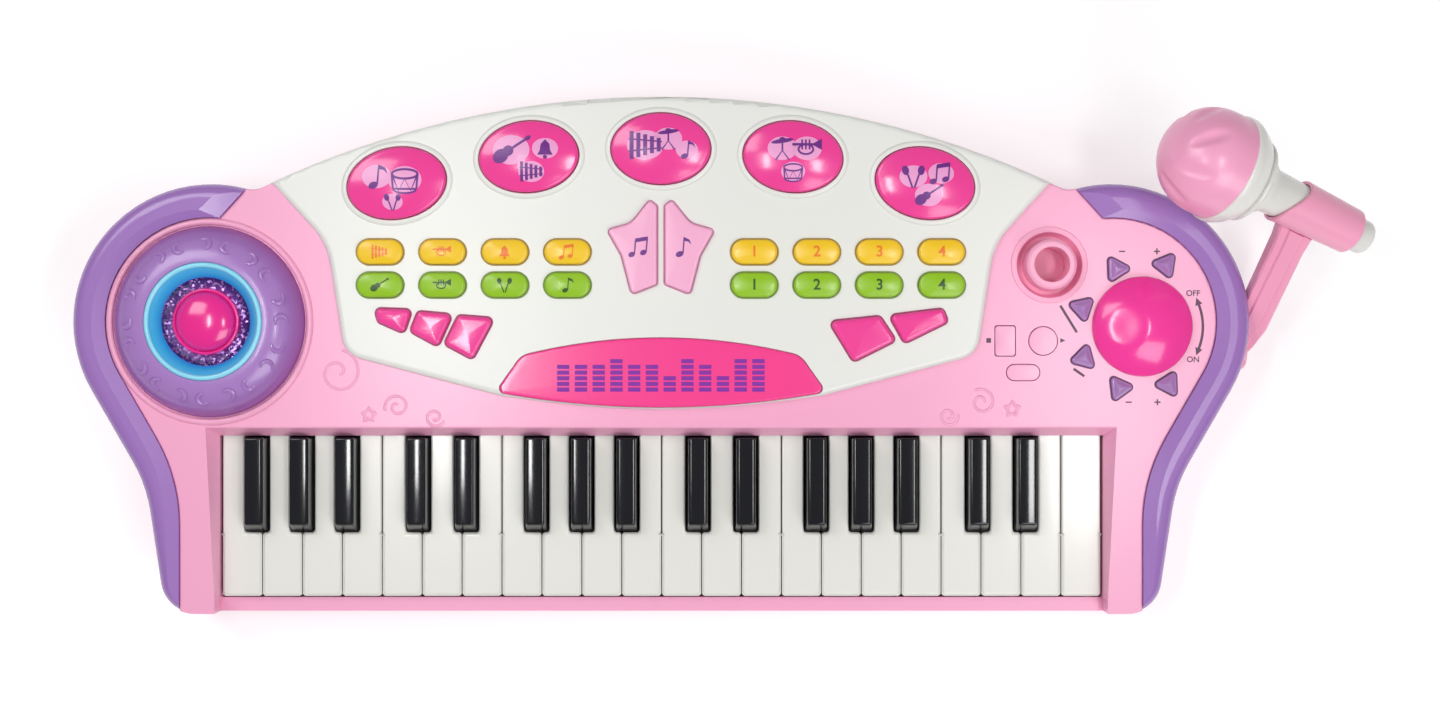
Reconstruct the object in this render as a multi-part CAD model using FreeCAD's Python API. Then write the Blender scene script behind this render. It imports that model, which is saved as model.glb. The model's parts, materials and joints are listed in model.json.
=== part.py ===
import FreeCAD, Part
import math
import os

# Toy electronic keyboard with a microphone on a swinging clip arm.
# Everything is drawn flat in the frame of the control panel: x to the right, y towards the back,
# z along the panel's normal, with z = 0 on the pink deck. The finished pieces are then tilted so
# that the deck rises towards the back, and set on the table with the origin under the deck's middle.

# Attitude and general fits
TILT_DEG = 6.0
CASE_DEPTH = 47.8
OVERRUN = 5.0
WALL = 2.5
FIT_GAP = 0.3
SEAT_GAP = 0.15

# Outline of the case, right half
BACK_APEX = 110.0
BACK_RADIUS = 392.0
NOTCH_RADIUS = 10.0
BULGE_X = 191.5
BULGE_Y = 14.5
BULGE_RADIUS = 58.7
FLANK_DEG = 30.0
FLANK_LENGTH = 35.0
WAIST_RADIUS = 60.0
CHEEK_DEG = 8.65
FRONT_REACH = 109.5
CORNER_RADIUS = 15.0

# Shells
PARTING_DROP = 16.0
BASE_INSET = 6.0
FLOOR = 3.0
BASE_ROUND = 3.0
RIM_GAP = 0.3
RIM_WIDTH = 3.0
RIM_RISE = 1.4
DECK_ROUND = 0.8

# Purple trims round both ends
TRIM_WIDTH = 14.4
TRIM_CUT_DEG = 95.4
TRIM_FLANK_LENGTH = 31.0
TRIM_FRONT_WIDTH = 8.4
TRIM_SEAT_DROP = 13.5
TRIM_RISE = 2.6
TRIM_ROUND = 6.0
TRIM_SLOPE_WIDTH = 5.4
TRIM_SLOPE_DROP = 1.3

# White control panel
PANEL_RISE = 3.0
PANEL_ROUND = 2.6
PANEL_SHOULDER = (207.0, 119.5)
PANEL_KNEE = (141.5, 47.5)
PANEL_KNEE_RADIUS = 30.0
PANEL_HEEL = (134.2, 0.5)
PANEL_HEEL_RADIUS = 11.0
PANEL_CHIN = (68.3, -16.9)
PANEL_CHIN_RADIUS = 25.0
PANEL_SAG = (0.0, -26.0)
PANEL_SAG_RADIUS = 380.0

# Display lens
LENS_RISE = 3.6
LENS_CROWN = (0.0, 13.6)
LENS_CROWN_RADIUS = 235.0
LENS_SHOULDER = (59.0, 0.3)
LENS_SHOULDER_RADIUS = 9.0
LENS_TIP = (70.0, -15.3)
LENS_TIP_RADIUS = 2.5
LENS_SAG = (0.0, -27.0)
LENS_SAG_RADIUS = 380.0
LENS_EASE = 0.6

# Buttons that go down through the deck
PRESS = 1.5
FLANGE = 1.0
FLANGE_THICKNESS = 1.5
CAP_EASE = 0.8
CAP_PROUD = 2.2
PAD_HALF_LENGTH = 21.0
PAD_HALF_WIDTH = 15.0
PAD_EASE = 1.6
PAD_PROUD = 3.2
PAD_PLACES = (
    (-111.6, 73.0, 10.0), (-55.8, 84.2, 5.0), (0.0, 87.6, 0.0), (55.8, 84.2, -5.0), (111.6, 73.0, -10.0),
)
OBLONG_LENGTH = 19.5
OBLONG_WIDTH = 10.4
OBLONG_PITCH = 26.4
OBLONG_FIRST = 39.5
OBLONGS_PER_SIDE = 4
TONE_ROW = 44.0
RHYTHM_ROW = 30.0
STAR_POINTS = ((1.7, 63.5), (4.7, 65.8), (12.5, 56.0), (22.6, 53.2), (16.5, 42.4), (12.3, 26.2), (1.7, 30.4))
STAR_RADII = (1.0, 1.2, 9.0, 1.4, 5.0, 1.6, 1.0)
WEDGES = (
    ((-121.0, 20.2), (-105.2, 19.6), (-108.6, 9.6), (-119.5, 14.4)),
    ((-102.6, 18.9), (-88.1, 17.6), (-94.2, 4.0), (-106.0, 10.4)),
    ((-85.6, 17.2), (-70.4, 16.0), (-79.6, -1.4), (-91.6, 5.0)),
    ((71.0, 14.6), (92.6, 16.8), (99.4, 6.6), (81.4, -2.4)),
    ((96.4, 17.2), (119.2, 20.0), (121.4, 14.4), (103.0, 5.4)),
)
WEDGE_RADIUS = 2.0
TRIANGLE_SIZE_SHARE = 0.149
TRIANGLE_CORNER = 1.3
TRIANGLE_PROUD = 2.4
# Place of each triangle from the middle of the right end, in shares of the deck's radius there, and its turn
TRIANGLE_SHARES = (
    (0.036, 0.506, 2.0), (0.506, 0.544, 52.0), (-0.291, 0.133, 162.0),
    (-0.275, -0.345, -45.0), (0.065, -0.634, 6.0), (0.535, -0.596, 62.0),
)
FLUSH_PROUD = 0.5
FLUSH_EASE = 0.2
FLUSH_CORNER = 1.2
STOP_CENTRE = (146.0, 6.4)
STOP_SIZE = (8.5, 12.7)
PLAY_CENTRE = (162.1, 6.4)
PLAY_RADIUS = 6.0
RECORD_CENTRE = (153.6, -7.0)
RECORD_SIZE = (14.0, 6.8)

# Power knob
KNOB_PLACE_SHARES = (0.284, -0.045)
KNOB_SIZE_SHARE = 0.4786
KNOB_SKIRT = 2.2
KNOB_HEIGHT = 10.0
KNOB_DIMPLE_RADIUS = 11.0
KNOB_DIMPLE_DEPTH = 2.6
KNOB_DIMPLE_SHARE = 0.4
KNOB_SHAFT_RADIUS = 4.0
KNOB_COLLAR_RADIUS = 6.0
KNOB_COLLAR = 1.5
RUNNING_GAP = 0.06

# Microphone socket
SOCKET_PLACE_SHARES = (-0.605, 0.544)
SOCKET_DISH_RADIUS = 15.0
SOCKET_FLOOR_DROP = 5.0
SOCKET_POST_RADIUS = 10.6
SOCKET_POST_RISE = 8.5
SOCKET_BORE_RADIUS = 7.4
SOCKET_BORE_LENGTH = 18.0
SOCKET_RIM = 1.2
SOCKET_RIM_RISE = 0.8
SOCKET_EDGE = 1.2

# Lamp and speaker ring at the left
RING_GAP = 0.4
RING_RISE = 12.5
RING_BELLY_SHARE = 0.62
RING_BELLY_RISE_SHARE = 0.66
RING_THICKNESS = 2.2
RING_SHELF_RISE = 7.0
RING_SHELF = 2.4
LAMP_SIZE_SHARE = 0.611
LAMP_INNER_SHARE = 0.458
LAMP_LIP = 1.6
LAMP_LIP_RISE = 1.0
BOWL_FLOOR = 5.0
BOWL_WALL = 2.0
DOME_SIZE_SHARE = 0.325
DOME_HEIGHT = 8.0

# Keys
WHITE_KEYS = 22
KEY_PITCH = 17.1
KEY_GAP = 0.5
KEY_BACK = -34.4
KEY_FRONT = -102.7
KEY_TAIL = -27.5
WHITE_TOP = -8.0
WHITE_HEIGHT = 9.0
WHITE_EASE = 0.6
KEY_SHELL = 1.6
BLACK_WIDTH = 9.6
BLACK_TOP_WIDTH = 7.8
BLACK_FRONT = -75.0
BLACK_NOSE = 3.4
BLACK_TOP = -0.6
BLACK_TAIL_TOP = -8.4
BLACK_BOTTOM = -16.5
BLACK_SIDE_GAP = 0.6
# Place of each black key from the joint of its two white keys, in key pitches, from F sharp upwards;
# None marks the joints of B with C and of E with F, which have no black key.
BLACK_PLACE_SHARES = (-0.13, 0.0, 0.13, None, -0.09, 0.11, None)

# Hinge of the keys
HINGE_Y = -20.0
HINGE_Z = -13.5
BAR_RADIUS = 2.0
BAR_GAP = 0.1
HOOK_RADIUS = 4.0
HOOK_WIDTH = 5.0
HOOK_MOUTH = 3.2
POST_WIDTH = 3.0
POST_DEPTH = 4.0

# Key bay in the upper case
BAY_SIDE_GAP = 0.7
BAY_FRONT_GAP = 0.9
BAY_BACK_GAP = 0.4
BAY_DRAFT_BACK = 3.6
BAY_DRAFT_SIDE_BACK = 4.6
BAY_DRAFT_SIDE_FRONT = 0.8
BAY_SKIRT_DROP = 7.0
LIP_DROP = 12.0

# Screws and their bosses
SCREW_PLACES = ((150.0, 60.0), (28.5, 97.5), (203.0, -28.0), (196.8, -95.0))
SCREW_RADIUS = 1.5
SCREW_LENGTH = 13.0
SCREW_HEAD_RADIUS = 3.2
SCREW_HEAD = 2.4
SCREW_SEAT = 6.0
SCREW_FREE_GAP = 0.4
SCREW_BITE_GAP = 0.05
BOSS_RADIUS = 4.0
WELL_RADIUS = 5.4

# Circuit board on heat-staked pins
BOARD_HALF_LENGTH = 137.0
BOARD_BACK = 66.0
BOARD_FRONT = -4.0
BOARD_THICKNESS = 1.6
BOARD_GAP = 2.2
BOARD_PLACES = ((79.2, 37.0), (133.0, 37.0))
STAKE_RADIUS = 1.9
STAKE_PIN_RADIUS = 1.0
STAKE_PIN_GAP = 0.1
STAKE_PIN_PROUD = 0.8

# Battery box and door, in the frame of the table
BATTERY_LENGTH = 108.0
BATTERY_WIDTH = 62.0
BATTERY_HEIGHT = 26.0
BATTERY_X = 80.0
BATTERY_Y = 42.0
BATTERY_WALL = 2.0
DOOR_THICKNESS = 1.8
DOOR_SINK = 0.3
DOOR_LEDGE = 2.5
DOOR_TAB = 9.0
DOOR_BOSS_RADIUS = 6.0
DOOR_BOSS_HEIGHT = 6.0
DOOR_SEAT = 3.3
DOOR_RIB = 1.2
DOOR_RIBS = 6

# Loudspeaker over the slots of the base, in the frame of the table
SPEAKER_X = -188.0
SPEAKER_Y = 12.0
SPEAKER_RADIUS = 27.0
SPEAKER_FLANGE = 2.0
SPEAKER_CONE_RADIUS = 14.0
SPEAKER_HEIGHT = 19.0
SPEAKER_MAGNET = 7.0
SPEAKER_WALL = 2.0
SPEAKER_WALL_HEIGHT = 6.0
SLOT_WIDTH = 3.0
SLOT_PITCH = 6.5
SLOTS = 7
SLOT_REACH = 22.0

# Microphone and its clip arm
MIC_CLIP = (268.5, 57.5, 19.0)
MIC_DIRECTION_SHARES = (-0.865, 0.362, 0.345)
MIC_HEAD_RADIUS = 22.0
MIC_CAP_RADIUS = 22.6
MIC_CAP_LENGTH = 8.0
MIC_CAP_SLOPE = 2.4
MIC_BEAD_RADIUS = 19.8
MIC_BEAD_LENGTH = 3.0
MIC_GROOVE_RADIUS = 18.8
MIC_NECK_RADIUS = 15.2
MIC_NECK_LENGTH = 16.0
MIC_HANDLE_RADIUS = 10.2
MIC_TAIL_RADIUS = 9.2
MIC_HANDLE_LENGTH = 52.0
MIC_TIP_RADIUS = 6.5
MIC_TIP_LENGTH = 7.0
MIC_GAP = 0.35
SLEEVE_LENGTH = 45.0
SLEEVE_WALL = 2.4
SLEEVE_SCOOP = 10.5
ARM_PIVOT_Y = 2.0
ARM_PIVOT_Z = -25.5
ARM_PEG_RADIUS = 4.5
ARM_PEG_LENGTH = 13.0
ARM_HEAD_RADIUS = 5.6
ARM_HEAD = 2.0
ARM_HUB_RADIUS = 8.0
ARM_HUB_WIDTH = 6.0
ARM_WAIST_WIDTH = 11.0
ARM_WAIST_SHARE = 0.35
ARM_TOP_WIDTH = 14.0
ARM_THICKNESS = 7.0
ARM_SIDE_GAP = 0.5
ARM_BOSS_RADIUS = 8.5
ARM_RIDGE = 1.6

V = FreeCAD.Vector
UP = V(0, 0, 1)
DEEP = CASE_DEPTH + FRONT_REACH
SPAN = 2 * (BULGE_X + BULGE_RADIUS)
WHITE_BED = WHITE_KEYS * KEY_PITCH / 2

# The circuit board lies below the caps' flanges at the end of their travel
BOARD_DROP = WALL + FIT_GAP + FLANGE_THICKNESS + PRESS + BOARD_GAP

# Deck inside the trims at both ends, and what is sized and placed by it
END_RADIUS = BULGE_RADIUS - TRIM_WIDTH
RIM_OUTER = END_RADIUS - RIM_GAP
RIM_INNER = RIM_OUTER - RIM_WIDTH
RING_RADIUS = RIM_INNER - RING_GAP
LAMP_RADIUS = RING_RADIUS * LAMP_SIZE_SHARE
LAMP_INNER_RADIUS = RING_RADIUS * LAMP_INNER_SHARE
DOME_RADIUS = RING_RADIUS * DOME_SIZE_SHARE
KNOB_RADIUS = END_RADIUS * KNOB_SIZE_SHARE
KNOB_X = BULGE_X + END_RADIUS * KNOB_PLACE_SHARES[0]
KNOB_Y = BULGE_Y + END_RADIUS * KNOB_PLACE_SHARES[1]
SOCKET_X = BULGE_X + END_RADIUS * SOCKET_PLACE_SHARES[0]
SOCKET_Y = BULGE_Y + END_RADIUS * SOCKET_PLACE_SHARES[1]
TRIANGLE_RADIUS = END_RADIUS * TRIANGLE_SIZE_SHARE


def polar(angle_deg):
    angle = math.radians(angle_deg)
    return V(math.cos(angle), math.sin(angle), 0)


def unit(vector):
    return V(vector).normalize()


def mirrored_x(point):
    return V(-point.x, point.y, point.z)


def box(x_low, x_high, y_low, y_high, z_low, z_high):
    return Part.makeBox(x_high - x_low, y_high - y_low, z_high - z_low, V(x_low, y_low, z_low))


def cylinder(x, y, radius, z_low, z_high):
    return Part.makeCylinder(radius, z_high - z_low, V(x, y, z_low))


def bar_x(x_low, x_high, y, z, radius):
    return Part.makeCylinder(radius, x_high - x_low, V(x_low, y, z), V(1, 0, 0))


def prism(wire, height):
    return Part.Face(wire).extrude(V(0, 0, height))


def fused(shapes):
    return shapes[0].multiFuse(shapes[1:]).removeSplitter()


def turned(profile, x, y):
    """Revolve a closed profile of (radius, z) points and arcs about the panel normal at (x, y)."""
    face = Part.Face(Part.Wire(profile))
    solid = face.revolve(V(0, 0, 0), UP, 360)
    solid.translate(V(x, y, 0))
    return solid


def profile_edges(points):
    """Edges of a closed (radius, z) profile; a triple of points is an arc through its middle one."""
    edges = []
    last = None
    for item in points:
        is_arc = isinstance(item[0], tuple)
        stops = [V(radius, 0, z) for radius, z in (item if is_arc else (item,))]
        if last is not None and last.distanceToPoint(stops[0]) > Part.Precision.confusion():
            edges.append(Part.LineSegment(last, stops[0]).toShape())
        if is_arc:
            edges.append(Part.Arc(*stops).toShape())
        last = stops[-1]
    first = points[0][0] if isinstance(points[0][0], tuple) else points[0]
    edges.append(Part.LineSegment(last, V(first[0], 0, first[1])).toShape())
    return edges


def rounded_wire(points, radii, height):
    """Closed polygon at one height whose corners are tangent arcs of the given radii."""
    starts = []
    count = len(points)
    for index in range(count):
        corner = V(points[index][0], points[index][1], height)
        before = V(points[index - 1][0], points[index - 1][1], height)
        after = V(points[(index + 1) % count][0], points[(index + 1) % count][1], height)
        to_before = unit(before - corner)
        to_after = unit(after - corner)
        half = to_before.getAngle(to_after) / 2
        reach = radii[index] / math.tan(half)
        inward = unit(to_before + to_after)
        middle = corner + inward * (radii[index] / math.sin(half) - radii[index])
        starts.append((corner + to_before * reach, middle, corner + to_after * reach))
    edges = []
    for index, (start, middle, end) in enumerate(starts):
        edges.append(Part.Arc(start, middle, end).toShape())
        edges.append(Part.LineSegment(end, starts[(index + 1) % count][0]).toShape())
    return Part.Wire(edges)


def both_sides(points, radii):
    """Right-half corners followed by their mirror images, for a symmetric closed polygon."""
    half = list(zip(points, radii))
    mirror = [((-x, y), radius) for (x, y), radius in reversed(half) if x != 0]
    whole = half + mirror
    return [point for point, radius in whole], [radius for point, radius in whole]


def circle_meet(first, first_radius, second, second_radius):
    """Meeting point of two circles on the left of the line from first to second."""
    across = second - first
    gap = across.Length
    along = (gap * gap + first_radius * first_radius - second_radius * second_radius) / (2 * gap)
    off = math.sqrt(first_radius * first_radius - along * along)
    side = V(-across.y, across.x, 0) / gap
    return first + across * (along / gap) + side * off


def notch_frame():
    """Centres of the back arc and of the hollow arc at its right, and the normals where that one ends."""
    back = V(0, BACK_APEX - BACK_RADIUS, 0)
    bulge = V(BULGE_X, BULGE_Y, 0)
    notch = circle_meet(back, BACK_RADIUS + NOTCH_RADIUS, bulge, BULGE_RADIUS + NOTCH_RADIUS)
    return back, notch, unit(notch - back), unit(notch - bulge)


def flank_frame():
    """Normal and downward direction of the straight flank below the bulge."""
    normal = polar(-FLANK_DEG)
    return normal, V(normal.y, -normal.x, 0)


def cheek_frame():
    """Centre of the right waist's hollow arc, normal of the cheek and centre of the front corner."""
    flank, down = flank_frame()
    waist = V(BULGE_X, BULGE_Y, 0) + flank * (BULGE_RADIUS + WAIST_RADIUS) + down * FLANK_LENGTH
    cheek = polar(-CHEEK_DEG)
    inner = waist - cheek * (WAIST_RADIUS + CORNER_RADIUS)
    run = (inner.y + FRONT_REACH - CORNER_RADIUS) / math.cos(math.radians(CHEEK_DEG))
    return waist, cheek, inner + V(cheek.y, -cheek.x, 0) * run


def outline_arcs():
    """Arcs of the case outline, clockwise from the back apex: centre, signed radius, end normals.

    A negative radius is a hollow arc, whose centre lies outside the case."""
    back, notch, back_end, bulge_start = notch_frame()
    bulge = V(BULGE_X, BULGE_Y, 0)
    flank, down = flank_frame()
    waist, cheek, corner = cheek_frame()
    right = [
        (back, BACK_RADIUS, V(0, 1, 0), back_end),
        (notch, -NOTCH_RADIUS, back_end, bulge_start),
        (bulge, BULGE_RADIUS, bulge_start, flank),
        (waist, -WAIST_RADIUS, flank, cheek),
        (corner, CORNER_RADIUS, cheek, V(0, -1, 0)),
    ]
    left = [(mirrored_x(c), r, mirrored_x(b), mirrored_x(a)) for c, r, a, b in reversed(right)]
    return right + left


def chain_wire(items, inset, height):
    """Closed wire through arcs and corner points, with each arc moved inwards by inset."""
    lift = V(0, 0, height)
    runs = []
    for item in items:
        if isinstance(item, FreeCAD.Vector):
            runs.append([item + lift])
            continue
        centre, radius, start, end = item
        middle = unit(start + end)
        runs.append([centre + normal * (radius - inset) + lift for normal in (start, middle, end)])
    edges = []
    for index, run in enumerate(runs):
        before = runs[index - 1][-1]
        if before.distanceToPoint(run[0]) > Part.Precision.confusion() * 10:
            edges.append(Part.LineSegment(before, run[0]).toShape())
        if len(run) > 1:
            edges.append(Part.Arc(*run).toShape())
    return Part.Wire(edges)


def outline_prism(inset, z_low, z_high):
    return prism(chain_wire(outline_arcs(), inset, z_low), z_high - z_low)


def core_prism(inset, z_low, z_high):
    return prism(core_wire(inset, z_low), z_high - z_low)


def core_wire(inset, height):
    """Outline of all between the two trims, drawn well past the case at the back and the front."""
    bulge = V(BULGE_X, BULGE_Y, 0)
    shift = math.degrees(math.asin(inset / END_RADIUS))
    cut = polar(TRIM_CUT_DEG + shift)
    start = bulge + cut * END_RADIUS
    slant = notch_frame()[3] * BULGE_RADIUS - polar(TRIM_CUT_DEG) * END_RADIUS
    past_back = start + slant * ((BACK_APEX + OVERRUN - start.y) / slant.y)
    flank, down = flank_frame()
    front_x = trim_front_x()
    # Radius at which the hollow arc below the flank runs out straight to the front
    tangent = bulge + flank * END_RADIUS + down * TRIM_FLANK_LENGTH
    waist_radius = (tangent.x - front_x) / (1 - flank.x)
    waist = tangent + flank * waist_radius
    right = [
        past_back,
        (bulge, END_RADIUS, cut, flank),
        (waist, -waist_radius, flank, V(1, 0, 0)),
        V(front_x - inset, -FRONT_REACH - OVERRUN, 0),
    ]
    left = []
    for item in reversed(right):
        if isinstance(item, FreeCAD.Vector):
            left.append(mirrored_x(item))
            continue
        centre, arc_radius, start, end = item
        left.append((mirrored_x(centre), arc_radius, mirrored_x(end), mirrored_x(start)))
    return chain_wire(right + left, inset, height)


def top_edges(solid, z):
    """Edges of a solid that lie wholly at one height."""
    tolerance = Part.Precision.confusion() * 10
    ends = [(edge, edge.BoundBox.ZMin, edge.BoundBox.ZMax) for edge in solid.Edges]
    return [edge for edge, low, high in ends if abs(low - z) < tolerance and abs(high - z) < tolerance]


def placed(shape):
    """Tilt a piece from the panel's frame into the frame of the table."""
    shape = shape.copy()
    shape.translate(V(0, 0, CASE_DEPTH))
    shape.rotate(V(0, 0, 0), V(1, 0, 0), TILT_DEG)
    return shape


def save(name, solids):
    shape = solids[0] if len(solids) == 1 else Part.makeCompound(solids)
    shape.exportStep("parts/" + name + ".step")


# Buttons: each cap comes from one closed outline, which also gives its flange and its hole

def oblong_wire(x, y, length, width, grow, height):
    half = length / 2 + grow
    radius = width / 2 + grow
    run = half - radius
    left = V(x - run, y, height)
    right = V(x + run, y, height)
    rise = V(0, radius, 0)
    out = V(radius, 0, 0)
    return Part.Wire([
        Part.LineSegment(left + rise, right + rise).toShape(),
        Part.Arc(right + rise, right + out, right - rise).toShape(),
        Part.LineSegment(right - rise, left - rise).toShape(),
        Part.Arc(left - rise, left - out, left + rise).toShape(),
    ])


def ellipse_wire(x, y, turn_deg, grow, height):
    ellipse = Part.Ellipse(V(0, 0, 0), PAD_HALF_LENGTH + grow, PAD_HALF_WIDTH + grow)
    wire = Part.Wire(ellipse.toShape())
    wire.rotate(V(0, 0, 0), UP, turn_deg)
    wire.translate(V(x, y, height))
    return wire


def grown(points, grow):
    """Corner points of a convex or star-shaped outline moved outwards by the same amount per side."""
    result = []
    count = len(points)
    area = sum(points[i - 1][0] * points[i][1] - points[i][0] * points[i - 1][1] for i in range(count))
    sign = 1 if area > 0 else -1
    for index in range(count):
        corner = V(points[index][0], points[index][1], 0)
        before = unit(corner - V(points[index - 1][0], points[index - 1][1], 0))
        after = unit(V(points[(index + 1) % count][0], points[(index + 1) % count][1], 0) - corner)
        normal_before = V(before.y, -before.x, 0) * sign
        normal_after = V(after.y, -after.x, 0) * sign
        bisector = unit(normal_before + normal_after)
        moved = corner + bisector * (grow / bisector.dot(normal_after))
        result.append((moved.x, moved.y))
    return result


def tone_outlines(row):
    outlines = []
    for side in (-1, 1):
        for index in range(OBLONGS_PER_SIDE):
            x = side * (OBLONG_FIRST + index * OBLONG_PITCH)
            outlines.append(lambda grow, z, x=x: oblong_wire(x, row, OBLONG_LENGTH, OBLONG_WIDTH, grow, z))
    return outlines


def pad_outlines():
    return [lambda grow, z, place=place: ellipse_wire(*place, grow, z) for place in PAD_PLACES]


def star_outlines():
    left = [(-x, y) for x, y in STAR_POINTS]
    return [lambda grow, z, p=p: rounded_wire(grown(p, grow), STAR_RADII, z) for p in (left, STAR_POINTS)]


def wedge_outlines():
    radii = [WEDGE_RADIUS] * len(WEDGES[0])
    return [lambda grow, z, p=p: rounded_wire(grown(p, grow), radii, z) for p in WEDGES]


def triangle_points(x, y, turn_deg):
    centre = V(x, y, 0)
    corners = [centre + polar(turn_deg + 120 * step) * TRIANGLE_RADIUS for step in range(3)]
    return [(corner.x, corner.y) for corner in corners]


def triangle_outlines():
    radii = [TRIANGLE_CORNER] * 3
    shapes = []
    for across, back, turn_deg in TRIANGLE_SHARES:
        shapes.append(triangle_points(BULGE_X + across * END_RADIUS, BULGE_Y + back * END_RADIUS, turn_deg))
    return [lambda grow, z, p=p: rounded_wire(grown(p, grow), radii, z) for p in shapes]


def record_outlines():
    x, y = STOP_CENTRE
    half_x = STOP_SIZE[0] / 2
    half_y = STOP_SIZE[1] / 2
    right = x + half_x
    back = y + half_y
    block = [(x - half_x, y - half_y), (right, y - half_y), (right, back), (x - half_x, back)]
    radii = [FLUSH_CORNER] * len(block)
    round_size = 2 * PLAY_RADIUS

    def round_wire(grow, z):
        return Part.Wire(Part.Circle(V(*PLAY_CENTRE, z), UP, round_size / 2 + grow).toShape())

    return [
        lambda grow, z: rounded_wire(grown(block, grow), radii, z),
        round_wire,
        lambda grow, z: oblong_wire(*RECORD_CENTRE, *RECORD_SIZE, grow, z),
    ]


def cap(outline, top, ease):
    """One button: a cap through the deck on a flange that stops against the deck's underside."""
    flange_top = -WALL - FIT_GAP
    flange_low = flange_top - FLANGE_THICKNESS
    body = prism(outline(0, flange_low), top - flange_low)
    body = body.makeChamfer(ease, top_edges(body, top))
    return body.fuse(prism(outline(FLANGE, flange_low), FLANGE_THICKNESS)).removeSplitter()


def hole(outline):
    return prism(outline(FIT_GAP, -WALL - OVERRUN), PANEL_RISE + WALL + OVERRUN + OVERRUN)


def panel_holes():
    outlines = pad_outlines() + tone_outlines(TONE_ROW) + tone_outlines(RHYTHM_ROW)
    return [hole(outline) for outline in outlines + star_outlines() + wedge_outlines()]


def deck_holes():
    return [hole(outline) for outline in triangle_outlines() + record_outlines()]


# Shells

def lens_wire(grow, height):
    points, radii = both_sides(
        (LENS_CROWN, LENS_SHOULDER, LENS_TIP, LENS_SAG),
        (LENS_CROWN_RADIUS, LENS_SHOULDER_RADIUS, LENS_TIP_RADIUS, LENS_SAG_RADIUS))
    return rounded_wire(grown(points, grow), radii, height)


def control_panel():
    points, radii = both_sides(
        (PANEL_SHOULDER, PANEL_KNEE, PANEL_HEEL, PANEL_CHIN, PANEL_SAG),
        (OVERRUN, PANEL_KNEE_RADIUS, PANEL_HEEL_RADIUS, PANEL_CHIN_RADIUS, PANEL_SAG_RADIUS))
    blank = prism(rounded_wire(points, radii, 0), PANEL_RISE).common(outline_prism(0, 0, PANEL_RISE))
    blank = blank.Solids[0].makeFillet(PANEL_ROUND, top_edges(blank, PANEL_RISE))
    lens_hole = prism(lens_wire(SEAT_GAP, -OVERRUN), PANEL_RISE + OVERRUN + OVERRUN)
    return blank.cut(panel_holes() + [lens_hole])


def display_lens():
    lens = prism(lens_wire(0, 0), LENS_RISE)
    return lens.makeChamfer(LENS_EASE, top_edges(lens, LENS_RISE))


def holds_middle(solid, edge):
    middle = edge.valueAt((edge.FirstParameter + edge.LastParameter) / 2)
    return solid.isInside(middle, Part.Precision.confusion(), True)


def side_trims():
    ring = outline_prism(0, -TRIM_SEAT_DROP, TRIM_RISE)
    ring = ring.cut(core_prism(0, -TRIM_SEAT_DROP - OVERRUN, TRIM_RISE + OVERRUN))
    inside = outline_prism(WALL, 0, TRIM_RISE + OVERRUN)
    # Flat slope from the ridge down to the deck side of the trim
    spread = TRIM_SLOPE_WIDTH * (TRIM_SLOPE_DROP + OVERRUN) / TRIM_SLOPE_DROP
    slope = Part.makeLoft(
        [core_wire(0, TRIM_RISE - TRIM_SLOPE_DROP), core_wire(-spread, TRIM_RISE + OVERRUN)], True, True)
    trims = []
    for trim in ring.Solids:
        outer = [edge for edge in top_edges(trim, TRIM_RISE) if not holds_middle(inside, edge)]
        trim = trim.makeFillet(TRIM_ROUND, outer)
        trims.append(trim.cut(slope))
    return trims


def bay_cut():
    """Drafted opening for the keys, wider at the deck than at the keys."""
    low_x = WHITE_BED + BAY_SIDE_GAP
    low_back = KEY_BACK + BAY_BACK_GAP
    low_front = KEY_FRONT - BAY_FRONT_GAP
    low = [(-low_x, low_front), (low_x, low_front), (low_x, low_back), (-low_x, low_back)]
    high = [
        (-low_x - BAY_DRAFT_SIDE_FRONT, low_front), (low_x + BAY_DRAFT_SIDE_FRONT, low_front),
        (low_x + BAY_DRAFT_SIDE_BACK, low_back + BAY_DRAFT_BACK),
        (-low_x - BAY_DRAFT_SIDE_BACK, low_back + BAY_DRAFT_BACK),
    ]
    wires = []
    for corners, z in ((low, -BAY_SKIRT_DROP), (high, 0)):
        points = [V(x, y, z) for x, y in corners]
        wires.append(Part.makePolygon(points + points[:1]))
    drafted = Part.makeLoft(wires, True, True)
    below = box(-low_x, low_x, low_front, low_back, -PARTING_DROP - OVERRUN, -BAY_SKIRT_DROP)
    front_half = low_x + BAY_DRAFT_SIDE_FRONT
    front = box(-front_half, front_half, -FRONT_REACH - OVERRUN, low_front, -LIP_DROP, OVERRUN)
    return [drafted, below, front]


def bay_walls():
    """Cheeks and back wall of the key bay, before the bay itself is cut."""
    half = WHITE_BED + BAY_SIDE_GAP + BAY_DRAFT_SIDE_BACK + WALL
    back = KEY_BACK + BAY_BACK_GAP + BAY_DRAFT_BACK + WALL
    front = KEY_FRONT - BAY_FRONT_GAP
    key_side = WHITE_BED + BAY_SIDE_GAP
    return [
        box(-half, half, KEY_BACK, back, -BAY_SKIRT_DROP, 0),
        box(-half, -key_side, -FRONT_REACH, KEY_BACK, -PARTING_DROP, 0),
        box(key_side, half, -FRONT_REACH, KEY_BACK, -PARTING_DROP, 0),
        box(-half, half, -FRONT_REACH, front, -PARTING_DROP, 0),
    ]


def round_rim(x):
    """Raised ring of the deck round the speaker ring."""
    middle = (RIM_OUTER + RIM_INNER) / 2
    return turned(profile_edges([((RIM_OUTER, 0), (middle, RIM_RISE), (RIM_INNER, 0))]), x, BULGE_Y)


def screw_places():
    return [(side * x, y) for x, y in SCREW_PLACES for side in (-1, 1)]


def stake_places():
    return [(side * x, y) for x, y in BOARD_PLACES for side in (-1, 1)]


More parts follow.
